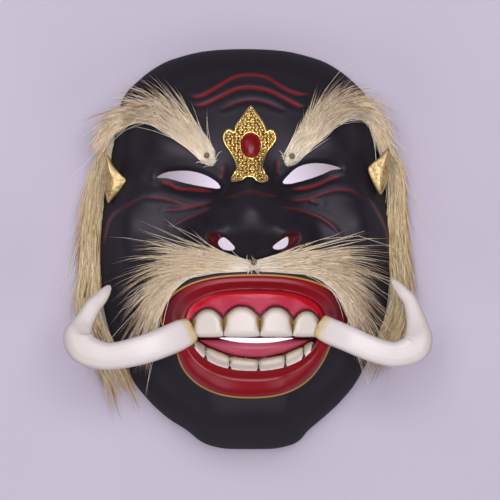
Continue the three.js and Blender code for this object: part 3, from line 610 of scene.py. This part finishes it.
# Ears. Two small pointed leaves carved from wood and gilded, rounded in front, with a shallow dent on the
# side towards the face. They are let into the wood at the temples.
EAR_OUTLINES = {
    "ear_left": [
        (-74.6, 49.6), (-71.3, 44), (-67.3, 39.4), (-64.2, 35.9), (-66.6, 31.8), (-70.4, 28), (-74, 24.4),
        (-75.6, 30), (-76.4, 37), (-76.2, 44)],
    "ear_right": [
        (73.7, 53.1), (69.6, 48.8), (65.6, 45.6), (63, 42.4), (64.6, 37.2), (67, 32.4), (69.6, 28.8),
        (72.6, 33.6), (74.8, 41), (75, 47.5)],
}
EAR_INNER_X = 64.0
EAR_BACK = 31.5
EAR_THICKNESS = 6.0
EAR_BULGE = 3.4
EAR_ROUNDING = 7.0

# Gold leaf over wood: bright and warm, with fine wrinkles, and brown showing where the leaf has worn thin.
gold_leaf, tree, shader = new_material("gold leaf on wood")
spot = add_node(tree, "TexCoord").outputs["Object"]
patches = {"Vector": spot, "Scale": 1000 / 4, "Detail": 5.0, "Roughness": 0.7}
worn = add_node(tree, "TexNoise", patches).outputs["Fac"]
thin = add_node(tree, "MapRange", {"Value": worn, "From Min": 0.5, "From Max": 0.66}).outputs["Result"]
tones = {0: thin, 6: linear("#d9be8c"), 7: linear("#86642f")}
colour = add_node(tree, "Mix", tones, data_type="RGBA").outputs[2]
metal = add_node(tree, "MapRange", {"Value": thin, "To Min": 0.8, "To Max": 0.5}).outputs["Result"]
gloss = add_node(tree, "MapRange", {"Value": worn, "To Min": 0.4, "To Max": 0.66}).outputs["Result"]
crinkle = add_node(tree, "TexNoise", {"Vector": spot, "Scale": 1000 / 1.2, "Detail": 4.0}).outputs["Fac"]
bump = add_node(tree, "Bump", {"Height": crinkle, "Strength": 0.6, "Distance": 0.0004}).outputs["Normal"]
coat = {"Base Color": colour, "Metallic": metal, "Roughness": gloss, "Normal": bump}
fill_inputs(tree, shader, coat)

for name, outline in EAR_OUTLINES.items():
    loop = smooth_line(outline, 96, closed=True)
    centre = loop.mean(0)
    share = np.linspace(0.04, 1, 24)[:, None, None]
    flat = centre + share * (loop - centre)
    side = np.abs(flat[..., 0]) - EAR_INNER_X
    back = EAR_BACK - 0.34 * side
    border, _ = line_distance(flat[..., 0].ravel(), flat[..., 1].ravel(), np.concatenate([loop, loop[:1]]))
    to_edge = 1 - border.reshape(flat.shape[:2]) / EAR_ROUNDING
    bulge = EAR_BULGE * np.sqrt(np.maximum(0, 1 - to_edge ** 2))
    dent = 1.2 * bell(side, flat[..., 1], 3, centre[1] + 2, 4, 9) * (1 - share[..., 0] ** 4)
    front = np.dstack([flat, back + EAR_THICKNESS + bulge - dent])
    rear = np.dstack([flat, back])[::-1]
    form = closed_form(np.concatenate([front, rear]), front[0].mean(0), rear[-1].mean(0))
    ear = make_piece(name + "_gilded", *form)
    ear.data.materials.append(gold_leaf)
    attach(ear, "root")
    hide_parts(name)

# Brow jewel. A thin gilt plate bent to the forehead, with a smooth raised border, rows of tiny beads, and
# an oval cabochon in a plain bezel at its middle. It lies close on the wood, which hides how it is fixed.
JEWEL_OUTLINE = [
    (1.1, 75.6), (-2.9, 70.8), (-6.9, 65.3), (-7.6, 62.4), (-8.9, 62.9), (-11, 63.3), (-13.2, 60.9),
    (-13.8, 58.3), (-12.7, 54.8), (-10.1, 50.9), (-7.6, 46.5), (-6.6, 42.9), (-6.8, 39.7), (-9.6, 36.7),
    (-8.2, 35), (-3.7, 35.9), (-1.3, 37.5), (2.1, 37.5), (4.6, 35.4), (7.5, 34.6), (10.8, 36.4),
    (8.1, 39.7), (7.8, 44.5), (10.1, 50.6), (14.2, 56), (15, 58.9), (13.6, 62.4), (11, 63.1), (9.8, 62.4),
    (9.4, 64), (7.5, 67.6), (4, 72.4),
]
JEWEL_GAP = 0.4
JEWEL_PLATE = 0.9
JEWEL_RINGS = 100
JEWEL_SIDES = 320
STONE_MIDDLE = (1.2, 54.7)
STONE_HALF = (5.1, 6.3)
BEAD_PITCH = 1.8
BEAD_ROW = 0.87 * BEAD_PITCH

loop = smooth_line(JEWEL_OUTLINE, JEWEL_SIDES, closed=True)
share = np.linspace(0.02, 1, JEWEL_RINGS)[:, None, None]
flat = np.asarray(STONE_MIDDLE) + share * (loop - STONE_MIDDLE)
x, y = flat[..., 0].ravel(), flat[..., 1].ravel()
border, _ = line_distance(x, y, np.concatenate([loop, loop[:1]]))
stone_share = np.hypot((x - STONE_MIDDLE[0]) / STONE_HALF[0], (y - STONE_MIDDLE[1]) / STONE_HALF[1])
row = np.round((y - STONE_MIDDLE[1]) / BEAD_ROW)
stagger = 0.5 * BEAD_PITCH * np.mod(row, 2)
column = np.round((x - STONE_MIDDLE[0] - stagger) / BEAD_PITCH)
bead_x = STONE_MIDDLE[0] + stagger + column * BEAD_PITCH + 0.3 * np.sin(3.1 * row + 5.3 * column)
bead_y = STONE_MIDDLE[1] + row * BEAD_ROW + 0.3 * np.sin(4.7 * row - 2.9 * column)
bead = np.sqrt(np.maximum(0, 1 - (np.hypot(x - bead_x, y - bead_y) / (0.5 * BEAD_PITCH)) ** 2))
bead *= 1.2 + 0.35 * np.sin(7.3 * row + 4.1 * column)
bead *= smoothstep(1.3, 1.9, border) * smoothstep(1.16, 1.3, stone_share)
edging = 0.9 * np.sqrt(np.maximum(0, 1 - ((border - 0.75) / 0.75) ** 2))
bezel = 1.3 * np.sqrt(np.maximum(0, 1 - ((stone_share - 1.1) / 0.11) ** 2))
crown = 1.2 * smoothstep(0, 9, border)
rise = np.maximum(np.maximum(bead, edging), bezel) + crown
base = face_height(x, y) + JEWEL_GAP
front = np.column_stack([x, y, base + JEWEL_PLATE + rise]).reshape(JEWEL_RINGS, JEWEL_SIDES, 3)
rear = np.column_stack([x, y, base]).reshape(JEWEL_RINGS, JEWEL_SIDES, 3)[::-6]
rear[0] = np.column_stack([loop, face_height(loop[:, 0], loop[:, 1]) + JEWEL_GAP])
form = closed_form(np.concatenate([front, rear]), front[0].mean(0), rear[-1].mean(0))
jewel = make_piece("beaded_jewel", *form)
marks = np.concatenate([rise - crown, np.zeros(rear.shape[0] * rear.shape[1] + 2)])
set_marks(jewel.data, {"relief": marks})

# Gilt brass: bright metal on every top, and dull dark brown, less metallic and rougher, in every hollow.
gilt_brass, tree, shader = new_material("gilt brass, dark brown in the hollows")
spot = add_node(tree, "TexCoord").outputs["Object"]
relief = add_node(tree, "Attribute", attribute_name="relief").outputs["Fac"]
patch = add_node(tree, "TexNoise", {"Vector": spot, "Scale": 1000 / 1.1, "Detail": 4.0}).outputs["Fac"]
height = add_node(tree, "Math", {0: patch, 1: 0.4, 2: relief}, operation="MULTIPLY_ADD").outputs[0]
# 1 on the tops of beads, border and bezel and 0 in the hollows, with some noise
top_share = add_node(tree, "MapRange", {"Value": height, "From Min": 0.3, "From Max": 0.95}).outputs["Result"]
tones = {0: top_share, 6: linear("#46290c"), 7: linear("#ffdf96")}
colour = add_node(tree, "Mix", tones, data_type="RGBA").outputs[2]
metal = add_node(tree, "MapRange", {"Value": top_share, "To Min": 0.35, "To Max": 1.0}).outputs["Result"]
gloss = add_node(tree, "MapRange", {"Value": top_share, "To Min": 0.6, "To Max": 0.24}).outputs["Result"]
bump = add_node(tree, "Bump", {"Height": patch, "Strength": 0.5, "Distance": 0.0004}).outputs["Normal"]
coat = {"Base Color": colour, "Metallic": metal, "Roughness": gloss, "Normal": bump}
fill_inputs(tree, shader, coat)
jewel.data.materials.append(gilt_brass)
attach(jewel, "root")
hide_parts("brow_jewel")

# Red glass cabochon: deep, dark and smooth, so it shows little but a soft reflection of the lights.
stone_glass, tree, shader = new_material("dark red glass cabochon")
spot = add_node(tree, "TexCoord").outputs["Object"]
cloud = add_node(tree, "TexNoise", {"Vector": spot, "Scale": 1000 / 5, "Detail": 2.0}).outputs["Fac"]
tones = {0: cloud, 6: linear("#620a11"), 7: linear("#96151d")}
colour = add_node(tree, "Mix", tones, data_type="RGBA").outputs[2]
coat = {"Base Color": colour, "Roughness": 0.26, "Specular IOR Level": 0.28}
fill_inputs(tree, shader, coat)

turn = np.linspace(0, 2 * np.pi, 64, endpoint=False)
lean = np.linspace(np.pi / 2, 0.05, 18)[:, None]
x = STONE_MIDDLE[0] + STONE_HALF[0] * np.sin(lean) * np.sin(turn)
y = STONE_MIDDLE[1] + STONE_HALF[1] * np.sin(lean) * np.cos(turn)
seat = face_height(np.array([STONE_MIDDLE[0]]), np.array([STONE_MIDDLE[1]]))[0]
tilt = (face_height(x, y) - seat) * 0.8
dome = np.dstack([x, y, seat + tilt + 2.9 + 3.0 * np.cos(lean)])
base = dome[:1] - (0, 0, 1.0)
rings = np.concatenate([base, dome])
stone = make_piece("cabochon", *closed_form(rings, base[0].mean(0), dome[-1].mean(0)))
stone.data.materials.append(stone_glass)
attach(stone, "root")
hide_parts("jewel_stone")

# Brows, moustache and side locks. Strips of goat hide with the long pale hair left on, pinned to the wood.
# Each hair is a three-sided tapering tube, several times thicker than real goat hair so that it shows. A
# strip's line is given by x, y and half width.
BROW_STRIPS = {
    "brow_left": [
        (-17.9, 44.2, 4.0), (-23.4, 51.1, 4.7), (-30.4, 57.9, 5), (-36.5, 62.9, 5), (-42.1, 66.4, 5),
        (-49, 70.1, 4.8), (-55, 71.4, 4.6), (-61.8, 70.6, 4.2), (-67.4, 68.1, 3.8), (-72, 65.1, 3.4),
        (-75.5, 61, 2.8), (-77.8, 56.5, 2)],
    "brow_right": [
        (19.8, 43.9, 4.0), (24.5, 50.6, 4.7), (33.2, 59.6, 5), (40.6, 67.4, 5), (47.9, 72.2, 4.8),
        (55.2, 73.8, 4.5), (62.4, 72, 4), (67.1, 66.9, 3.4), (69.8, 60.2, 2.8), (72, 53.5, 2)],
}
STRIP_RINGS = 60
STRIP_SIDES = 14
HAIR_RINGS = 6
HAIR_MAP_SHARE = 0.8
TONE_BINS = 40
WILD_SHARE = 0.045
FUZZ_REACH = 5.0
FUZZ_SHARE = 0.16
random = np.random.default_rng(7)


def overhang_ground(level, ease=2.5):
    """Ground that a piece lies on: the face, or the given level where the face falls away below it, as the
    soft maximum of the two, level + ease log(1 + e^((face - level) / ease))."""
    def ground(x, y):
        return level + np.logaddexp(0, (face_height(x, y) - level) / ease) * ease
    return ground


def hide_strip(line, thickness, ground):
    """Rings of a flat strip of hide along a line, lying on the ground below it and rounded off at both
    ends, and the middles of the rings."""
    path = smooth_line(line, STRIP_RINGS)
    share = np.linspace(0, 1, STRIP_RINGS)
    ends = np.sqrt(np.clip(np.minimum(share, 1 - share) / 0.05, 0.02, 1))
    z = ground(path[:, 0], path[:, 1]) + 0.35 * thickness
    middle = np.column_stack([path[:, :2], z])
    return sweep(middle, path[:, 2] * ends, thickness * ends, STRIP_SIDES), middle


def strand_mesh(paths, thickness, tone):
    """Points, triangles and corner UVs of many hairs: each is a stack of three-cornered rings that taper
    along its path to one tip point, with the root closed. U is its tone and side, V runs to the tip."""
    count, rings = paths.shape[:2]
    ahead = np.gradient(paths, axis=1)
    ahead /= np.linalg.norm(ahead, axis=2)[..., None] + 1e-9
    side = np.cross(ahead, (0.13, 0.07, 0.99))
    side /= np.linalg.norm(side, axis=2)[..., None] + 1e-9
    up = np.cross(side, ahead)
    taper = thickness[:, None] * (1 - 0.55 * np.linspace(0, 1, rings) ** 1.5)
    turn = np.arange(3) * 2 * np.pi / 3
    offset = np.cos(turn)[:, None] * side[:, :, None] + np.sin(turn)[:, None] * up[:, :, None]
    points = paths[:, :, None] + taper[..., None, None] * offset
    body = points[:, :-1].reshape(count, -1, 3)
    points = np.concatenate([body, paths[:, -1:]], axis=1)
    local = []
    local_uv = []
    for ring in range(rings - 2):
        for corner in range(3):
            a, b = 3 * ring + corner, 3 * ring + (corner + 1) % 3
            low, high = ring / (rings - 1), (ring + 1) / (rings - 1)
            left, right = corner / 3, (corner + 1) / 3
            local += [(a, b, b + 3), (a, b + 3, a + 3)]
            local_uv.append(((left, low), (right, low), (right, high)))
            local_uv.append(((left, low), (right, high), (left, high)))
    last = 3 * (rings - 2)
    for corner in range(3):
        low = (rings - 2) / (rings - 1)
        local.append((last + corner, last + (corner + 1) % 3, last + 3))
        local_uv.append(((corner / 3, low), ((corner + 1) / 3, low), ((corner + 0.5) / 3, 1)))
    local.append((0, 2, 1))
    local_uv.append(((0, 0), (1, 0), (0.5, 0.05)))
    start = np.arange(count)[:, None, None] * (3 * (rings - 1) + 1)
    triangles = (np.array(local) + start).reshape(-1, 3)
    tone = np.minimum(TONE_BINS - 1, np.floor(tone * TONE_BINS))[:, None, None]
    uv = np.broadcast_to(np.array(local_uv), (count, len(local), 3, 2)).copy()
    uv[..., 0] = HAIR_MAP_SHARE * (tone + 0.08 + 0.84 * uv[..., 0]) / TONE_BINS
    uv[..., 1] = 0.02 + 0.96 * uv[..., 1]
    return points.reshape(-1, 3), triangles, uv.reshape(-1, 2)


def comb(strip, hand, count, crowd, lengths, flare, follow):
    """Hairs in the plane of the face, as paths, tones from 0 to 1, and which of them are wild. Roots are
    random on the strip. At every step a hair's angle is the strip's own angle further on, plus a flare,
    least on the strip's inner edge, a lean shared by its tuft and a little sway; its points are the sums of
    the short steps. Wild hairs lean more and are longer, and short fuzz near the start points anywhere."""
    path = smooth_line(strip, 240)
    leg = np.diff(path[:, :2], axis=0)
    arc = np.append(0, np.cumsum(np.hypot(*leg.T)))
    angles = np.unwrap(np.arctan2(*np.gradient(path[:, :2], axis=0).T[::-1]))
    start = 0.93 * arc[-1] * random.random(count) ** crowd
    across = 2 * random.random(count) ** 1.25 - 1
    share = (across + 1) / 2
    # Hairs of one small cell of the strip share a number from 0 to 1, scattered by a steep sine
    tuft = np.mod(43758.5 * np.sin(12.9898 * np.floor(start / 2.0) + 78.233 * np.floor(across * 3.5)), 1)
    wild = random.random(count) < WILD_SHARE
    length = np.interp(start / arc[-1], (0, 1), lengths) * (0.3 + 0.85 * random.random(count) ** 1.8)
    length *= 0.75 + 0.5 * tuft
    lean = flare[0] + flare[1] * share * (1 - 0.5 * start / arc[-1])
    lean = lean + 0.3 * (tuft - 0.5) * (0.25 + share) + random.normal(0, 0.04, count)
    lean = np.where(wild, lean + np.clip(random.normal(0.05, 0.42, count), -0.3, 0.75), lean)
    length = np.where(wild, 1.35 * length, length)
    fuzz = (start < FUZZ_REACH) & (random.random(count) < FUZZ_SHARE)
    lean = np.where(fuzz, random.uniform(-2.0, 2.0, count), lean)
    length = np.where(fuzz, random.uniform(2.0, 6.0, count), length)
    step = (np.arange(HAIR_RINGS - 1) + 0.5) / (HAIR_RINGS - 1)
    ahead = start[:, None] + ((follow[0] + follow[1] * share) * length)[:, None] * step
    sway = random.normal(0, 0.07, (count, 1)) * np.sin(2 * np.pi * (step + random.random((count, 1))))
    angle = np.interp(ahead, arc, angles) + hand * lean[:, None] * (0.4 + 0.6 * step) + sway
    pace = (length / (HAIR_RINGS - 1))[:, None, None]
    legs = pace * np.stack([np.cos(angle), np.sin(angle)], -1)
    turn = np.interp(start, arc, angles)
    offset = hand * across * np.interp(start, arc, path[:, 2]) * np.minimum(1, np.sqrt((start + 0.3) / 5))
    root = np.column_stack([np.interp(start, arc, path[:, 0]), np.interp(start, arc, path[:, 1])])
    root = root + offset[:, None] * np.column_stack([-np.sin(turn), np.cos(turn)])
    flat = np.concatenate([root[:, None], root[:, None] + np.cumsum(legs, axis=1)], axis=1)
    tone = np.clip(0.6 * tuft + 0.4 * random.random(count), 0, 0.999) * (0.6 + 0.4 * smoothstep(0, 34, start))
    tone = np.where(wild | fuzz, 0.08, tone)
    return flat, tone, wild


def make_hair_piece(name, rings, middle, strands, materials):
    """One object of a hide strip and its hairs, with the bake's UV map: hairs in the left four fifths by
    tone, and the hide, which has its own material, in the right fifth."""
    hide_points, hide_triangles = closed_form(rings, middle[0], middle[-1])
    points, triangles, uv = strands
    around = rings.shape[1]
    index = np.arange(len(hide_points))
    hide_u = 0.83 + 0.14 * (index % around) / around
    hide_v = 0.02 + 0.96 * (index // around) / len(rings)
    hide_uv = np.column_stack([hide_u, hide_v])
    piece = make_piece(name, np.concatenate([hide_points, points]),
                       np.concatenate([hide_triangles, triangles + len(hide_points)]))
    layer = piece.data.uv_layers.new(name="OFBake")
    corners = np.concatenate([hide_uv[hide_triangles.ravel()], uv])
    layer.data.foreach_set("uv", corners.astype(np.float32).ravel())
    for material in materials:
        piece.data.materials.append(material)
    slots = np.zeros(len(piece.data.polygons), np.int32)
    slots[: len(hide_triangles)] = 1
    piece.data.polygons.foreach_set("material_index", slots)
    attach(piece, "root")
    return piece


# Goat hair: dull and dry with a soft gloss along each hair, whitish near the skin and tan to the tip, with
# browner and whiter hairs among the rest. In the brows and moustache the browner hairs lie lower and the
# whiter ones higher, so their tone also paints shade deep in the fur and light on its top.
def goat_hair(name, root_tone, middle_tone, tip_tone, dark_tone):
    """Hair whose colour runs along V from root to middle to tip. A hair of high tone, by U, is mixed with
    the dark colour away from its root, and one of low tone with white."""
    material, tree, shader = new_material(name)
    uv = add_node(tree, "UVMap", uv_map="OFBake").outputs["UV"]
    split = add_node(tree, "SeparateXYZ", {"Vector": uv})
    scaled = {0: split.outputs["X"], 1: 1 / HAIR_MAP_SHARE}
    tone = add_node(tree, "Math", scaled, operation="MULTIPLY").outputs[0]
    reach = split.outputs["Y"]
    first = add_node(tree, "MapRange", {"Value": reach, "From Min": 0.05, "From Max": 0.5}).outputs["Result"]
    tones = {0: first, 6: linear(root_tone), 7: linear(middle_tone)}
    colour = add_node(tree, "Mix", tones, data_type="RGBA").outputs[2]
    second = add_node(tree, "MapRange", {"Value": reach, "From Min": 0.5, "From Max": 1.0}).outputs["Result"]
    colour = add_node(tree, "Mix", {0: second, 6: colour, 7: linear(tip_tone)}, data_type="RGBA").outputs[2]
    # Dark for high tone and white for low tone; where tone also sets a hair's height, this is partly painted
    # shade and painted light.
    limits = {"Value": tone, "From Min": 0.46, "From Max": 0.9, "To Max": 0.85}
    deep = add_node(tree, "MapRange", limits).outputs["Result"]
    darker = add_node(tree, "Math", {0: deep, 1: first}, operation="MULTIPLY").outputs[0]
    colour = add_node(tree, "Mix", {0: darker, 6: colour, 7: linear(dark_tone)}, data_type="RGBA").outputs[2]
    limits = {"Value": tone, "From Min": 0.3, "From Max": 0.05, "To Max": 0.6}
    white_share = add_node(tree, "MapRange", limits).outputs["Result"]
    colour = add_node(tree, "Mix", {0: white_share, 6: colour, 7: linear("#fffaf8")}, data_type="RGBA").outputs[2]
    coat = {"Base Color": colour, "Roughness": 0.5, "Sheen Weight": 0.2, "Sheen Roughness": 0.4}
    fill_inputs(tree, shader, coat)
    return material


pale_hair = goat_hair("pale goat hair", "#ffefde", "#fff1da", "#ffddae", "#ac7a4a")
tan_hair = goat_hair("tan goat hair", "#fff2d4", "#ffe4b0", "#fad090", "#8c5c24")

# Dried hide: thin, pale brown and a little creased, yellower past its start, where hair covers it.
hide, tree, shader = new_material("dried goat hide")
spot = add_node(tree, "TexCoord").outputs["Object"]
crease = add_node(tree, "TexNoise", {"Vector": spot, "Scale": 1000 / 2.5, "Detail": 4.0}).outputs["Fac"]
tones = {0: crease, 6: linear("#8f765c"), 7: linear("#b69c80")}
pale = add_node(tree, "Mix", tones, data_type="RGBA").outputs[2]
uv = add_node(tree, "UVMap", uv_map="OFBake").outputs["UV"]
far = add_node(tree, "SeparateXYZ", {"Vector": uv}).outputs["Y"]
haired = add_node(tree, "MapRange", {"Value": far, "From Min": 0.06, "From Max": 0.16}).outputs["Result"]
colour = add_node(tree, "Mix", {0: haired, 6: pale, 7: linear("#8f7548")}, data_type="RGBA").outputs[2]
bump = add_node(tree, "Bump", {"Height": crease, "Strength": 0.4, "Distance": 0.0005}).outputs["Normal"]
fill_inputs(tree, shader, {"Base Color": colour, "Roughness": 0.7, "Normal": bump})


MOUSTACHE_STRIPS = {
    "moustache_left": [
        (5.2, -9, 2.6), (-7, -8.4, 3.7), (-16, -8.5, 4), (-25.4, -9.4, 4), (-33.4, -12.2, 4),
        (-39.8, -17, 3.8), (-44.1, -22.4, 3.4), (-47.2, -28.6, 3), (-49.4, -35.2, 2.2), (-50.2, -40, 1.5)],
    "moustache_right": [
        (0, -9, 2.6), (12.2, -8.4, 3.7), (21.2, -8.5, 4), (30.6, -9.4, 4), (38.6, -12, 4),
        (45.2, -16.8, 3.8), (49.7, -22.4, 3.4), (52.8, -28.6, 3), (55, -35.2, 2.2), (56, -40, 1.5)],
}
# For each kind: number of hairs, how the roots crowd to the start, length at the start and at the end,
# flare along the inner edge and how much more along the outer, share of the strip's turn followed along the
# inner edge and how much more along the outer, most lift at the tip, and the ground below.
SWEPT_HAIR = [
    (BROW_STRIPS, 2300, 1.0, (39, 14), (0.0, 0.4), (1.0, -0.4), 4.0, overhang_ground(27.0)),
    (MOUSTACHE_STRIPS, 1650, 1.25, (54, 29), (0.05, 0.34), (0.75, -0.4), 6.0, overhang_ground(30.0)),
]
for strips, count, crowd, lengths, flare, follow, high, ground in SWEPT_HAIR:
    for name, strip in strips.items():
        hand = -1 if name.endswith("left") else 1
        flat, tone, wild = comb(strip, hand, count, crowd, lengths, flare, follow)
        reach = np.linspace(0, 1, HAIR_RINGS)
        # Darker hairs lie lower and whiter ones higher, so their tone also stands as painted shade below and
        # painted light on top.
        lift = 0.9 + 1.2 * (1 - tone[:, None]) + random.uniform(0.2, high, (count, 1)) * reach ** 1.2
        z = ground(flat[..., 0], flat[..., 1]) + lift
        thickness = np.where(wild, 0.15, random.uniform(0.15, 0.26, count))
        strands = strand_mesh(np.concatenate([flat, z[..., None]], axis=2), thickness, tone)
        piece = make_hair_piece(name + "_hair", *hide_strip(strip, 0.7, ground), strands, [pale_hair, hide])
        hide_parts(name)

LOCK_STRIPS = {
    "side_lock_left": [
        (-72, 62, 3), (-75, 55, 4), (-80.5, 34, 4.5), (-82.5, 18, 5), (-84, 3, 5), (-84.3, -13, 5.5),
        (-85.5, -27, 6), (-84, -40, 7), (-77, -55, 7.5), (-71, -66, 6), (-68, -74, 3)],
    "side_lock_right": [
        (70, 62, 3), (72, 58, 3.5), (77, 45, 4), (78.5, 33, 4.3), (78.5, 20, 4.5), (79, 8, 4.6), (80, -6, 5),
        (81, -18, 6), (81.5, -28, 6.5), (79, -38, 6.5), (75, -47, 5), (71, -55, 3)],
}
LOCK_HAIRS = 2100
LOCK_LEVEL = 7.0
LOCK_DEPTH = 8.5


def lock_ground(x, y):
    """The hide of a side lock lies level above the floor, behind the rim."""
    return np.full(len(x), LOCK_LEVEL)


for name, strip in LOCK_STRIPS.items():
    hand = -1 if name.endswith("left") else 1
    flat, tone, wild = comb(strip, hand, LOCK_HAIRS, 1.15, (46, 22), (-0.05, 0.12), (0.9, 0.0))
    depth = LOCK_DEPTH + 5.0 * random.uniform(-1, 1, (LOCK_HAIRS, 1))
    drift = random.uniform(-2, 2, (LOCK_HAIRS, 1)) * np.linspace(0, 1, HAIR_RINGS)
    z = np.clip(depth + drift, 1.2, 17)
    thickness = np.where(wild, 0.13, random.uniform(0.15, 0.26, LOCK_HAIRS))
    strands = strand_mesh(np.concatenate([flat, z[..., None]], axis=2), thickness, tone)
    backing_strip = hide_strip(np.array(strip[1:6]) * (1, 1, 0.5), 1.2, lock_ground)
    lock = make_hair_piece(name + "_hair", *backing_strip, strands, [tan_hair, hide])
    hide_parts(name)

# Pegs. Three small round pins of split bamboo, driven through the hide into the face: one in each brow and
# one where the two halves of the moustache meet.
PEGS = {"brow_peg_left": (-21.9, 49.2), "brow_peg_right": (22.9, 48.8), "moustache_peg": (2.9, -6.9)}
PEG_SIDES = 24
PEG_SINK = 1.8

# Split bamboo: dull brown with darker and paler ends of fibres.
bamboo, tree, shader = new_material("split bamboo peg")
spot = add_node(tree, "TexCoord").outputs["Object"]
fibre = add_node(tree, "TexNoise", {"Vector": spot, "Scale": 1000 / 0.7, "Detail": 3.0}).outputs["Fac"]
tones = {0: fibre, 6: linear("#473618"), 7: linear("#8c7548")}
colour = add_node(tree, "Mix", tones, data_type="RGBA").outputs[2]
fill_inputs(tree, shader, {"Base Color": colour, "Roughness": 0.6})

for name, (x, y) in PEGS.items():
    low, high = (corner[2] * 1000 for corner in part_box(name))
    bottom, top = low - PEG_SINK, high + 0.05
    turn = np.linspace(0, 2 * np.pi, PEG_SIDES, endpoint=False)
    circle = np.column_stack([np.cos(turn), np.sin(turn), np.zeros(PEG_SIDES)])
    profile = [(1.5, bottom), (1.5, low + 0.6), (1.42, high - 0.3), (1.15, high), (0.5, top)]
    rings = np.stack([(x, y, z) + radius * circle for radius, z in profile])
    peg = make_piece(name + "_turned", *closed_form(rings, (x, y, bottom), (x, y, top)))
    peg.data.materials.append(bamboo)
    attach(peg, "root")
    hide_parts(name)

# Stage. A plain pale lilac floor, a large soft light above, two softboxes on the chin's side and a weaker
# one past the forehead, all turned to the mask, and two small lamps in the hollow that light the floor seen
# through its openings. The camera looks straight down.
backing, tree, shader = new_material("pale lilac paper")
spot = add_node(tree, "TexCoord").outputs["Object"]
fleck = add_node(tree, "TexNoise", {"Vector": spot, "Scale": 6.0, "Detail": 1.0}).outputs["Fac"]
tones = {0: fleck, 6: linear("#b8aec1"), 7: linear("#beb5c8")}
colour = add_node(tree, "Mix", tones, data_type="RGBA").outputs[2]
glow = {"Base Color": colour, "Roughness": 0.9, "Emission Color": colour, "Emission Strength": 0.17}
fill_inputs(tree, shader, glow)
FLOOR_HALF = 3000.0
FLOOR_LEVEL = -0.4
square = np.array([(-1, -1, 0), (1, -1, 0), (1, 1, 0), (-1, 1, 0)])
corners = FLOOR_HALF * square + (0, 0, FLOOR_LEVEL)
floor = make_piece("paper_floor", corners, np.array([(0, 1, 2), (0, 2, 3)]))
floor.data.materials.append(backing)

WHITE = (1.0, 1.0, 1.0)
COOL = (0.9, 0.97, 1.0)
HOLLOW_LAMP_SIZE = 0.05
LAMPS = [
    ("front_softbox", (0.06, 0.30, 1.75), 1.2, 25.0, WHITE),
    ("left_softbox", (-0.85, -1.0, 1.2), 0.9, 5.5, WHITE),
    ("right_softbox", (0.95, -0.95, 1.2), 0.9, 5.0, WHITE),
    ("upper_left_softbox", (-0.75, 0.95, 1.2), 0.9, 3.0, WHITE),
    ("eye_lamp", (0.002, 0.03, 0.03), HOLLOW_LAMP_SIZE, 0.0285, COOL),
    ("mouth_lamp", (0.004, -0.05, 0.03), HOLLOW_LAMP_SIZE, 0.038, COOL),
]
for name, place, size, power, tint in LAMPS:
    lamp = bpy.data.lights.new(name, "AREA")
    lamp.size = size
    lamp.energy = power
    lamp.color = tint
    holder = bpy.data.objects.new(name, lamp)
    holder.location = place
    if size > HOLLOW_LAMP_SIZE:
        holder.rotation_euler = holder.location.to_track_quat("Z", "Y").to_euler()
    holder.visible_camera = False
    bpy.context.scene.collection.objects.link(holder)

world = bpy.data.worlds.new("studio")
world.use_nodes = True
world.node_tree.nodes["Background"].inputs["Color"].default_value = linear("#e9e4f2")
world.node_tree.nodes["Background"].inputs["Strength"].default_value = 0.05
bpy.context.scene.world = world
bpy.context.scene.view_settings.view_transform = "Standard"

CAMERA_HEIGHT = 4.0
SCALE_LEVEL = 0.035
PICTURE_PIXELS = 500
PIXEL_SIZE = 0.528e-3
lens = bpy.data.cameras.new("camera")
lens.sensor_width = 36.0
lens.lens = lens.sensor_width * (CAMERA_HEIGHT - SCALE_LEVEL) / (PICTURE_PIXELS * PIXEL_SIZE)
lens.clip_end = 20
camera = bpy.data.objects.new("camera", lens)
camera.location = (0.0008, -0.0005, CAMERA_HEIGHT)
bpy.context.scene.collection.objects.link(camera)
bpy.context.scene.camera = camera
